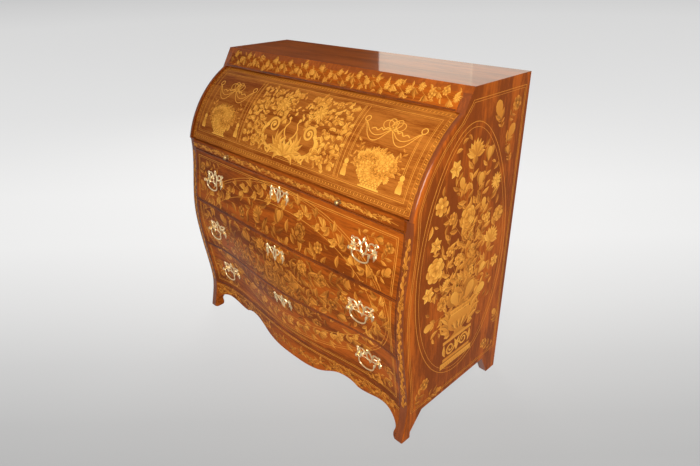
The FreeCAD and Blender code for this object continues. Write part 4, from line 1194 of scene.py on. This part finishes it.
def side_lines(canvas, hand):
    """Lines along the edges of a side, which follow its curved front."""
    lay = front_of(("right" if hand > 0 else "left") + "_side")
    across = hand * (CAD_BOX[1][0] - 0.015)
    for inset, wide in ((18, 0.0018), (25, 0.0012)):
        low, top = SIDE_LOW + inset * MM, SIDE_TOP - inset * MM
        edge = []
        for k in range(161):
            height = low + (top - low) * k / 160
            hit = lay(across, height)
            if hit:
                slant = math.hypot(hit[1].y, hit[1].z) / max(0.5, abs(hit[1].y))
                edge.append(complex(hit[0].y + inset * MM * slant, height))
        kept = [p for p in edge if not any(start < p.imag < end for start, end in EDGE_BREAKS)]
        canvas.stroke(kept, wide, SIDE_LINE_TONE)
        rear = CAD_BOX[1][1] - inset * MM
        canvas.string([complex(rear, low), complex(rear, top)], SIDE_LINE_TONE, wide, 1)
        canvas.string([complex(edge[0].real, low), complex(rear, low)], SIDE_LINE_TONE, wide)
        canvas.string([complex(edge[-1].real, top), complex(rear, top)], SIDE_LINE_TONE, wide)


def side_drawing(canvas, hand):
    """Tall oval with an urn on a plinth, its bouquet, and sprigs in the corners."""
    rng = random.Random(37)
    for inset, wide in ((0, 0.0020), (15, 0.0014)):
        canvas.stroke(egg(inset, 260), wide, SIDE_LINE_TONE, closed=True)
    side_lines(canvas, hand)
    bouquet(canvas, rng, spot(16, 410), SIDE_FLOWERS, 0.036, 1.15, 0.72)
    u, v, wide, high = SIDE_OVAL

    def room(p):
        across = (p.real / MM - u) / (wide - 34)
        up = (p.imag / MM - v) / (high - 36)
        return across**2 + up**2 < 1 and p.imag > 0.33

    low, top = spot(u - wide, 330), spot(u + wide, v + high)
    scatter(canvas, rng, low, top, room, SIDE_FLOWERS + URN_CLEAR, 260, 0.034, 0.55)
    urn(canvas, 14, 302)
    plinth(canvas, 12, 192)
    for path, flower in SIDE_SPRIGS:
        points = [spot(*p) for p in path]
        reach = min(0.030, 0.55 * abs(points[-1] - points[0]))
        flowered_sprig(canvas, points, reach, (0.55, 0.72), flower, 1, rng)


# frieze, slide, apron, stiles and leather

APRON_CURVE = ((0, 62), (110, 64), (200, 78), (262, 94), (330, 84), (410, 92), (480, 96), (526, 88))


def garland(canvas, points, pitch, radius, reach, rng, sway, leans, tone):
    """Flowers strung along a line, with leaves that lean to both sides of it."""
    line = smooth(points, pitch)
    stem = []
    for k, p in enumerate(line):
        stem.append(p + 1j * heading(line, k) * sway * (1 if k % 2 else -1))
    canvas.stroke(smooth(stem, 0.005), 0.0020, tone - 0.2)
    for k in range(len(stem) - 1):
        run = unit(line[k + 1] - line[k])
        hand = 1 if k % 2 else -1
        for lean in leans:
            size = reach * rng.uniform(0.75, 1.15)
            way = run * cmath.exp(1j * hand * (lean + rng.uniform(-0.15, 0.15)))
            root = stem[k] + way * radius * 0.7
            canvas.leaf(root, root + way * size, size * 0.4, tone + rng.uniform(-0.35, 0.15), 0.1 * hand)
        kind = BLOOMS[(k * 7 + k // 5) % len(BLOOMS)]
        way = run * cmath.exp(1j * hand * 0.5)
        canvas.bloom(kind, stem[k], radius * rng.uniform(0.85, 1.15), way, tone + 0.15, rng.random() * 6)


def frieze_drawing(canvas):
    """Trail along the frieze, with loose leaves above and below it."""
    rng = random.Random(41)
    line = [spot(-544, 1076), spot(0, 1076), spot(552, 1076)]
    trail(canvas, line, 0.084, 0.024, rng, 0.0115, 0.009, 0.68, 2, FRIEZE_BLOOMS)
    for k in range(70):
        at = spot(-540 + k * 15.6 + rng.uniform(-3, 3), 1076 + (15 if k % 2 else -15) + rng.uniform(-5, 5))
        way = cmath.rect(0.017, rng.uniform(0, math.tau))
        canvas.leaf(at - way / 2, at + way / 2, 0.0075, 0.62 + rng.uniform(-0.25, 0.25), 0.12)


def slide_drawing(canvas):
    """Garland along the band of the writing slide."""
    rng = random.Random(43)
    line = [spot(u, 773) for u in range(-530, 531, 106)]
    garland(canvas, line, 0.050, 0.0085, 0.027, rng, 0.003, (0.3, 2.9, -0.45, -2.7), 0.72)


def apron_drawing(canvas):
    """Two lines and a garland that follows the scallops."""
    rng = random.Random(47)
    canvas.string([spot(-546, 115), spot(546, 115)], 0.75)
    canvas.string([spot(-546, 109), spot(546, 109)], 0.7, 0.0013)
    line = [spot(-u, v) for u, v in APRON_CURVE[:0:-1]] + [spot(u, v) for u, v in APRON_CURVE]
    garland(canvas, line, 0.056, 0.0115, 0.024, rng, 0.005, (0.5, 1.3, 2.5, -0.5, -2.6), 0.52)


def stile_drawing(canvas, hand):
    """Climbing stem with a pair of leaves and a husk at each step."""
    rng = random.Random(53)
    stem = [spot((563 + 3 * (-1) ** k) * hand, 132 + 38 * k) for k in range(17)]
    canvas.stroke(smooth(stem, 0.005), 0.0016, 0.5)
    for k, at in enumerate(stem[:-1]):
        lean = (-1) ** k * hand
        shade = 0.54 + rng.uniform(-0.2, 0.2)
        canvas.leaf(at, at + spot(-9 * lean, 22), 0.0095, shade, 0.14 * lean, 1)
        shade = 0.47 + rng.uniform(-0.2, 0.2)
        canvas.leaf(at + spot(0, 12), at + spot(6 * lean, 31), 0.0085, shade, -0.14 * lean, 1)
        if k % 3 == 1:
            canvas.bloom(BLOOMS[k % 5], at + spot(-2 * lean, 30), 0.0105, 1j, 0.64, k)
        else:
            canvas.petal(at + spot(-3 * lean, 14), at + spot(-7 * lean, 40), 0.009, (0.3, 0.68), 2)


def tooling_drawing(canvas, half, pitch):
    """Three gold lines round the leather, with a row of small lozenges between them."""
    for inset, wide in ((10, 0.0012), (13, 0.0007), (25, 0.0012)):
        canvas.frame(-half + spot(inset, inset), half - spot(inset, inset), 1, wide)
    rail = half - spot(19, 19)
    around = corners(-rail, rail)
    for a, b in zip(around, around[1:] + around[:1]):
        count = round(abs(b - a) / pitch)
        for k in range(count):
            at = a + (b - a) * (k + 0.5) / count
            reach = unit(b - a) * pitch * 0.36
            canvas.leaf(at - reach, at + reach, 0.0042, 1)


# Brass

POST = 42.5
PLATE_LEAVES = (
    (90, 22, 10), (50, 17, 9), (130, 17, 9), (-90, 24, 10),
    (-50, 16, 9), (-130, 16, 9), (0, 13, 9), (180, 13, 9),
)
SHIELD_LEAVES = ((90, 14), (-90, 36), (-70, 24), (-110, 24), (40, 12), (140, 12))


def sprays(canvas, root, leaves, bend, layer, dome):
    """Cast leaves from one root, by angle, reach and width."""
    for angle, reach, wide in leaves:
        tip = root + cmath.rect(reach * MM, math.radians(angle))
        canvas.leaf(root, tip, wide * MM, 1, bend, layer, dome)


def plate_drawing(canvas, u, v):
    """Rococo handle plate: leaf clusters at the posts, scrolls and a pierced oval with a finial."""
    for side in (-1, 1):
        at = about(u, v, side)
        sprays(canvas, at(POST, 0), PLATE_LEAVES, 0.06 * side, 0, 0.0020)
        canvas.disc(at(POST, 0), 0.0075, 1, 2, 0.0022)
        canvas.scroll(at(47, 24), (0.0075, 0.002), (0, side * 8), (0.0045, 0.0022), 1, 1, 0.0014, 4)
        arm = [at(40, 25), at(28, 27), at(18, 20), at(9, 6)]
        canvas.stroke(smooth(arm, 0.003), 0.0055, 1, 0.004, 4, 1, 0.0018)
        low = [at(38, -4), at(28, -10), at(18, -8), at(8, -12)]
        canvas.stroke(smooth(low, 0.003), 0.005, 1, 0.0035, 4, 1, 0.0016)
        angles = (math.pi / 2, math.pi / 2 + side * 7)
        canvas.scroll(at(24, 9), (0.008, 0.002), angles, (0.004, 0.002), 1, 1, 0.0014, 4)
    at = about(u, v)
    ring = oval(at(0, 7), 11.5 * MM, 19 * MM, 30)
    canvas.stroke(ring, 0.006, 1, columns=4, layer=2, dome=0.0020, closed=True)
    sprays(canvas, at(0, 24), ((90, 17, 7.5), (62, 13, 7.5), (118, 13, 7.5)), 0, 2, 0.0018)
    canvas.leaf(at(0, -10), at(0, -24), 0.0085, 1, 0, 2, 0.0018)


def escutcheon_drawing(canvas, u, v):
    """Keyhole plate: a pierced oval between leafy arms with hanging ends."""
    at = about(u, v)
    ring = oval(at(0, 0), 7 * MM, 18 * MM, 30)
    canvas.stroke(ring, 0.0075, 1, columns=4, layer=2, dome=0.0020, closed=True)
    canvas.leaf(at(0, 16), at(0, 31), 0.010, 1, 0, 2, 0.0018)
    canvas.leaf(at(0, -16), at(0, -27), 0.008, 1, 0, 2, 0.0016)
    for side in (-1, 1):
        at = about(u, v, side)
        arm = [at(8, -4), at(20, 4), at(32, 18), at(42, 14)]
        canvas.stroke(smooth(arm, 0.003), 0.0055, 1, 0.0045, 4, 1, 0.0018)
        arm = [at(6, 14), at(16, 20), at(26, 12)]
        canvas.stroke(smooth(arm, 0.003), 0.005, 1, 0.003, 4, 1, 0.0016)
        leaves = [(angle, reach, 8) for angle, reach in SHIELD_LEAVES]
        sprays(canvas, at(42, 12), leaves, 0.05 * side, 1, 0.0018)
        canvas.disc(at(42, 12), 0.005, 1, 3, 0.0016)


# Operators

# width of one board of the back
BACK_BOARD = 0.157
BEAD_LIFT = 0.0008
MOUNT_LIFT = 0.0016
TOOLING_LIFT = 0.00005
LOZENGE_PITCH = 0.012
# edges blunter than this are shaded soft on the cast brass
MOUNT_SOFT = math.radians(40)
APRON_HALF = 0.547
STILE_REACH = (0.552, 0.576)
SLIDE_MARGIN = 0.006
DRAWER_MARGIN = 0.004
# distance of the drawers' bead from their edges, and its width
BEAD_INSET, BEAD_WIDTH = 0.0017, 0.0024


def on_apron(u, v):
    return abs(u) < APRON_HALF


def on_stile(u, v):
    return STILE_REACH[0] < abs(u) < STILE_REACH[1]


def canvas_for(context, lay, inside=everywhere):
    return Canvas(context.scene.desk_inlay, lay, inside)


def inlay_of(context):
    return bpy.data.materials.get("inlay_woods") or inlay_wood("inlay_woods", context.scene.desk_woods)


def handle_places():
    """Drawer, width and height of each handle's pins."""
    for drawer in DRAWERS:
        for side in ("left", "right"):
            pin = JOINTS["%s_drawer_%s_bail_swing" % (drawer, side)]["pos_m"]
            yield drawer, pin[0], pin[2]


class DESK_OT_finishes(bpy.types.Operator):
    """Gives every solid of the desk its wood, metal or leather"""

    bl_idname = "desk.finishes"
    bl_label = "Finishes"

    def execute(self, context):
        woods, metals = context.scene.desk_woods, context.scene.desk_metal
        ground, figure = tuple(woods.ground), tuple(woods.figure)
        made = {
            "side_veneer": side_veneer("side_veneer", woods),
            "top_veneer": top_veneer("top_veneer", ground, figure),
            "frieze_board_veneer": veneer("frieze_veneer", (0.8, 8, 8), ground, figure),
            "cylinder_fall_veneer": veneer("fall_veneer", (0.8, 9, 9), tuple(woods.fall), figure, 0.7),
            "slide_front_veneer": veneer("slide_front_veneer", (0.8, 9, 9), toned(ground, 0.8), figure),
            "apron_veneer": veneer("apron_veneer", (0.9, 7, 7), toned(ground, 0.9), figure),
            "drawer_veneer": veneer("drawer_veneer", (0.9, 7, 7), toned(ground, 0.92), toned(figure, 0.9)),
            "oak": plain_wood("planed_oak", tuple(woods.oak), (9, 1, 9), 0.48),
            "fitting_wood": plain_wood("waxed_fitting", tuple(woods.fitting), (1, 8, 8), 0.34),
            "back_pine": board_wood("raw_pine", tuple(woods.pine), BACK_BOARD),
            "brass": brass("cast_brass", tuple(metals.brass), tuple(metals.tarnish), 0.24),
            "slide_knobs": brass("aged_brass", tuple(metals.tarnish), toned(metals.tarnish, 0.4), 0.3),
            "lock_iron": iron("lock_iron", tuple(metals.iron)),
            "leather": leather("writing_leather", tuple(woods.leather)),
        }
        veneer("bead_veneer", (1, 1, 1), toned(ground, 0.46), toned(figure, 0.4), 1.0, BEAD_POLISH)
        for name, node in NODES.items():
            node.data.materials.clear()
            node.data.materials.append(made["slide_knobs" if name == "slide_knobs" else SLOT_OF[name]])
        return {"FINISHED"}


class DESK_OT_fall_inlay(bpy.types.Operator):
    """Lays the marquetry of the fall"""

    bl_idname = "desk.fall_inlay"
    bl_label = "Fall marquetry"

    def execute(self, context):
        rng = random.Random(11)
        for name, drawing in (("fall_marquetry", fall_drawing), ("fall_centre_marquetry", centre_panel)):
            canvas = canvas_for(context, fall_face())
            drawing(canvas, rng)
            canvas.piece(name, "fall", "cylinder_fall_veneer", inlay_of(context))
        return {"FINISHED"}


class DESK_OT_case_inlay(bpy.types.Operator):
    """Lays the marquetry of the frieze, apron and stiles"""

    bl_idname = "desk.case_inlay"
    bl_label = "Case marquetry"

    def execute(self, context):
        canvas = canvas_for(context, front_of("frieze_board", "top_board", "left_side", "right_side"))
        frieze_drawing(canvas)
        canvas.piece("frieze_marquetry", "case", "frieze_board_veneer", inlay_of(context))
        # dark bead along the lower edge of the frieze, partly a real bead and partly painted shadow: it is wide
        # enough to stand for the shadow where the frieze overhangs the fall
        low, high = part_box("frieze_board")
        canvas = canvas_for(context, front_of("frieze_board"))
        canvas.lift = BEAD_LIFT
        height = low.z + 0.004
        canvas.string([complex(low.x + 0.001, height), complex(high.x - 0.001, height)], 0, 0.006)
        canvas.piece("frieze_bead", "case", "frieze_board_veneer", bpy.data.materials["bead_veneer"])
        canvas = canvas_for(context, front_of("apron"), on_apron)
        apron_drawing(canvas)
        canvas.piece("apron_marquetry", "case", "apron_veneer", inlay_of(context))
        for side, hand in (("left", -1), ("right", 1)):
            canvas = canvas_for(context, front_of(side + "_side"), on_stile)
            stile_drawing(canvas, hand)
            canvas.piece(side + "_stile_marquetry", "case", "side_veneer", inlay_of(context))
        return {"FINISHED"}


class DESK_OT_side_inlay(bpy.types.Operator):
    """Lays the marquetry of both sides"""

    bl_idname = "desk.side_inlay"
    bl_label = "Side marquetry"

    def execute(self, context):
        for side, hand in (("left", -1), ("right", 1)):
            canvas = canvas_for(context, side_of(hand))
            side_drawing(canvas, hand)
            canvas.piece(side + "_side_marquetry", "case", "side_veneer", inlay_of(context))
        return {"FINISHED"}


class DESK_OT_slide_inlay(bpy.types.Operator):
    """Lays the marquetry of the writing slide's band"""

    bl_idname = "desk.slide_inlay"
    bl_label = "Slide marquetry"

    def execute(self, context):
        low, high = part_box("slide_front")

        def inside(u, v):
            return low.z + SLIDE_MARGIN < v < high.z - SLIDE_MARGIN

        canvas = canvas_for(context, front_of("slide_front"), inside)
        slide_drawing(canvas)
        canvas.piece("slide_marquetry", "slide", "slide_front_veneer", inlay_of(context))
        return {"FINISHED"}


class DESK_OT_tooling(bpy.types.Operator):
    """Tools the border of the writing leather in gold"""

    bl_idname = "desk.tooling"
    bl_label = "Gold tooling"

    def execute(self, context):
        low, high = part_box("writing_leather")
        middle = (low + high) / 2

        def lay(u, v):
            return Vector((middle.x + u, middle.y + v, high.z)), Vector((0, 0, 1))

        canvas = canvas_for(context, lay)
        canvas.lift = TOOLING_LIFT
        tooling_drawing(canvas, complex(high.x - middle.x, high.y - middle.y), LOZENGE_PITCH)
        metals = context.scene.desk_metal
        gold = brass("gold_leaf", tuple(metals.brass), tuple(metals.tarnish), 0.3)
        canvas.piece("leather_tooling", "slide", "brass", gold)
        return {"FINISHED"}


class DESK_OT_drawer_inlay(bpy.types.Operator):
    """Lays the marquetry that runs over all the drawers"""

    bl_idname = "desk.drawer_inlay"
    bl_label = "Drawer marquetry"

    def execute(self, context):
        bead_veneer = bpy.data.materials["bead_veneer"]
        edge = complex(BEAD_INSET, BEAD_INSET)
        for drawer in DRAWERS:
            body = drawer + "_drawer"
            node = drawer + "_drawer_front"
            low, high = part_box(node)

            def inside(u, v):
                level = low.z + DRAWER_MARGIN < v < high.z - DRAWER_MARGIN
                return level and abs(u) < high.x - DRAWER_MARGIN

            canvas = canvas_for(context, front_of(node), inside)
            front_drawing(canvas)
            canvas.piece(drawer + "_drawer_marquetry", body, "drawer_veneer", inlay_of(context))
            canvas = canvas_for(context, front_of(node))
            canvas.lift = BEAD_LIFT
            canvas.frame(complex(low.x, low.z) + edge, complex(high.x, high.z) - edge, 0, BEAD_WIDTH)
            canvas.piece(drawer + "_drawer_bead", body, "drawer_veneer", bead_veneer)
        return {"FINISHED"}


class DESK_OT_brass(bpy.types.Operator):
    """Casts the handle plates and escutcheons"""

    bl_idname = "desk.brass"
    bl_label = "Brass mounts"

    def execute(self, context):
        metal = bpy.data.materials["cast_brass"]
        for drawer in DRAWERS:
            body = drawer + "_drawer"
            lay = front_of(drawer + "_drawer_front")
            canvas = canvas_for(context, lay)
            canvas.lift = MOUNT_LIFT
            for owner, u, v in handle_places():
                if owner == drawer:
                    plate_drawing(canvas, u / MM, v / MM)
            plates = canvas.piece(drawer + "_drawer_mounts", body, "brass", metal, MOUNT_SOFT)
            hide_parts(drawer + "_drawer_plates")
            low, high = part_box(drawer + "_drawer_lock")
            canvas = canvas_for(context, lay)
            canvas.lift = MOUNT_LIFT
            escutcheon_drawing(canvas, 0, (low.z + high.z) / 2 / MM)
            shield = canvas.piece(drawer + "_drawer_keyplate", body, "brass", metal, MOUNT_SOFT)
            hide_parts(drawer + "_drawer_escutcheon")
        return {"FINISHED"}


# Stage

SENSOR_WIDTH = 36
# place, width and height, and colour of each lamp
LAMPS = {
    "key": ((1.75, -1.9, 1.9), (1.4, 1.4), (1, 0.95, 0.86)),
    "fill": ((2.7, 0.4, 1.6), (1.6, 1.6), (1, 0.96, 0.9)),
    "rear": ((-2.4, 1.7, 2.3), (1.8, 1.8), (1, 0.96, 0.9)),
    "card": ((-1.405, 2.309, 1.66), (0.747, 0.9), (1, 0.93, 0.60)),
    "far_card": ((-0.87, 2.652, 1.66), (0.545, 0.9), (1, 0.96, 0.57)),
}
FLAG_LOW = Vector((-6.2, 2.9, 0.9))
FLAG_HIGH = Vector((-2.466, 2.9, 2.3))
FLOOR_REACH = 40
FLOOR_DROP = 0.0003
# painted light and shade: the greys put a band of painted light on the floor behind the desk, fading further off,
# and painted shade close by
# greys of the floor from far to near, by the slope at which the photograph looks down on it
FLOOR_PAINTED_GREYS = (
    (0.055, 0.77), (0.177, 0.85), (0.342, 0.94), (0.436, 0.93),
    (0.562, 0.82), (0.703, 0.68), (0.863, 0.57), (0.983, 0.53),
)
STEEPEST = 1.2
NEAREST = 0.3
# distances between which the floor goes over into the wall
FLOOR_FADE = (15, 38)
# share of the floor that glows with its painted greys where it is seen directly or in a mirror
FLOOR_GLOW = 0.86


class DESK_OT_stage(bpy.types.Operator):
    """Makes the floor, the lamps and the camera"""

    bl_idname = "desk.stage"
    bl_label = "Stage"

    def execute(self, context):
        stage = context.scene.desk_stage
        eye = Vector(stage.eye)
        context.scene.view_settings.view_transform = "Standard"
        self.camera(context, stage, eye)
        self.floor(context, stage, eye)
        self.world(context, stage)
        self.flag(context)
        middle = Vector((0, 0, 0.6))
        corner = Vector((CAD_BOX[1][0] * 0.7, -0.1, 0.65))
        key = self.lamp(context, "key", corner, stage.key)
        key.data.spread = stage.spread
        self.lamp(context, "fill", middle, stage.fill)
        rear = self.lamp(context, "rear", middle, stage.rear)
        rear.visible_glossy = False
        mirrored = Vector((eye.x, eye.y, 2 * CAD_BOX[1][2] - eye.z))
        self.lamp(context, "card", mirrored, stage.card)
        self.lamp(context, "far_card", mirrored, stage.card * 0.5)
        return {"FINISHED"}

    def camera(self, context, stage, eye):
        """Camera at the photograph's viewing angle."""
        right = Vector((math.cos(stage.yaw), math.sin(stage.yaw), 0))
        level = math.cos(stage.dip)
        onward = Vector((-math.sin(stage.yaw) * level, math.cos(stage.yaw) * level, -math.sin(stage.dip)))
        above = right.cross(onward)
        turn, lean = math.cos(stage.roll), math.sin(stage.roll)
        across, up = right * turn + above * lean, above * turn - right * lean
        data = bpy.data.cameras.new("view")
        data.lens = stage.lens
        data.sensor_width = SENSOR_WIDTH
        camera = bpy.data.objects.new("view", data)
        camera.matrix_world = Matrix((across, up, -onward)).transposed().to_4x4()
        camera.location = eye
        context.scene.collection.objects.link(camera)
        context.scene.camera = camera

    def lamp(self, context, name, aim, power):
        """A soft rectangular lamp that the camera doesn't see."""
        place, size, shade = LAMPS[name]
        data = bpy.data.lights.new(name, "AREA")
        data.shape = "RECTANGLE"
        data.size, data.size_y = size
        data.energy = power
        data.color = shade
        lamp = bpy.data.objects.new(name, data)
        lamp.location = place
        lamp.rotation_euler = (aim - Vector(place)).to_track_quat("-Z", "Y").to_euler()
        lamp.visible_camera = False
        context.scene.collection.objects.link(lamp)
        return lamp

    def sheet(self, context, name, places):
        """A flat sheet of the stage, from its four corners."""
        mesh = bpy.data.meshes.new(name)
        mesh.from_pydata(places, [], [(0, 1, 2, 3)])
        obj = bpy.data.objects.new(name, mesh)
        context.scene.collection.objects.link(obj)
        obj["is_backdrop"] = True
        return obj

    def floor(self, context, stage, eye):
        """Pale floor with painted light and shade, darker close by, that goes over into the wall far behind the
        desk and glows with its greys.
        """
        reach = FLOOR_REACH
        places = [(-reach, -reach, 0), (reach, -reach, 0), (reach, reach, 0), (-reach, reach, 0)]
        obj = self.sheet(context, "floor", places)
        obj.location.z = -FLOOR_DROP
        ahead = (-math.sin(stage.yaw), math.cos(stage.yaw), 0)
        finish = Finish("pale_floor", {"Roughness": 0.9, "Specular IOR Level": 0.1})
        place = finish.place()
        away = finish.add("ShaderNodeVectorMath", {"operation": "SUBTRACT"}, {0: place, 1: (eye.x, eye.y, 0)})
        depth = finish.add("ShaderNodeVectorMath", {"operation": "DOT_PRODUCT"}, {0: away, 1: ahead}, "Value")
        slope = eye.z / finish.add("ShaderNodeMath", {"operation": "MAXIMUM"}, {0: depth, 1: NEAREST})
        # painted light and shade of the floor, from the slope at which the eye looks down on each place
        stops = tuple((share, (grey, grey, grey)) for share, grey in FLOOR_PAINTED_GREYS)
        near = finish.ramp(slope / STEEPEST, stops)
        distance = finish.add("ShaderNodeVectorMath", {"operation": "LENGTH"}, {0: place}, "Value")
        shade = finish.mix(finish.between(distance, *FLOOR_FADE), near, tuple(stage.wall))
        finish.surface(Base_Color=shade)
        # the floor glows with its painted light and shade, so that the lamps change it only a little
        glow = finish.add("ShaderNodeEmission", {}, {"Color": shade, "Strength": 1.0})
        base = Value(finish, finish.shader.outputs[0])
        both = finish.add("ShaderNodeMixShader", {}, {0: finish.shown() * FLOOR_GLOW, 1: base, 2: glow})
        finish.feed(finish.output.inputs[0], both)
        obj.data.materials.append(finish.material)

    def world(self, context, stage):
        """Even warm light, seen as a pale grey wall."""
        world = bpy.data.worlds.new("studio")
        world.use_nodes = True
        nodes = Nodes(world.node_tree)
        light = nodes.add("ShaderNodeBackground", {}, {"Color": (1, 0.92, 0.8, 1), "Strength": stage.ambient})
        wall = nodes.add("ShaderNodeBackground", {}, {"Color": (*stage.wall, 1), "Strength": 1.0})
        both = nodes.add("ShaderNodeMixShader", {}, {0: nodes.shown(), 1: light, 2: wall})
        output = world.node_tree.nodes.new("ShaderNodeOutputWorld")
        nodes.feed(output.inputs[0], both)
        context.scene.world = world

    def flag(self, context):
        """Black cloth that keeps the wall out of the left of the polished top."""
        low, high = FLAG_LOW, FLAG_HIGH
        places = [low, (high.x, low.y, low.z), high, (low.x, low.y, high.z)]
        obj = self.sheet(context, "flag", places)
        obj.visible_camera = obj.visible_diffuse = obj.visible_shadow = False
        finish = Finish("black_cloth", {"Roughness": 1.0, "Specular IOR Level": 0.0})
        weave = finish.noise(finish.place(), 300)
        shade = finish.mix(weave, (0.004, 0.003, 0.002), (0.02, 0.016, 0.012))
        obj.data.materials.append(finish.surface(Base_Color=shade))


class DESK_PT_panel(bpy.types.Panel):
    """Lists the steps that dress the desk"""

    bl_idname = "DESK_PT_panel"
    bl_label = "Cylinder desk"
    bl_space_type = "VIEW_3D"
    bl_region_type = "UI"
    bl_category = "Desk"

    def draw(self, context):
        for operator in STEPS:
            self.layout.operator(operator.bl_idname)


STEPS = (
    DESK_OT_finishes,
    DESK_OT_fall_inlay,
    DESK_OT_case_inlay,
    DESK_OT_side_inlay,
    DESK_OT_slide_inlay,
    DESK_OT_tooling,
    DESK_OT_drawer_inlay,
    DESK_OT_brass,
    DESK_OT_stage,
)
GROUPS = {"desk_woods": DeskWoods, "desk_inlay": DeskInlay, "desk_metal": DeskMetal, "desk_stage": DeskStage}


def register():
    for group in GROUPS.values():
        bpy.utils.register_class(group)
    for name, group in GROUPS.items():
        setattr(bpy.types.Scene, name, bpy.props.PointerProperty(type=group))
    for operator in STEPS:
        bpy.utils.register_class(operator)
    bpy.utils.register_class(DESK_PT_panel)


def unregister():
    bpy.utils.unregister_class(DESK_PT_panel)
    for operator in reversed(STEPS):
        bpy.utils.unregister_class(operator)
    for name, group in GROUPS.items():
        delattr(bpy.types.Scene, name)
        bpy.utils.unregister_class(group)


def main():
    register()
    for operator in STEPS:
        group, name = operator.bl_idname.split(".")
        getattr(getattr(bpy.ops, group), name)()


if __name__ == "__main__":
    main()
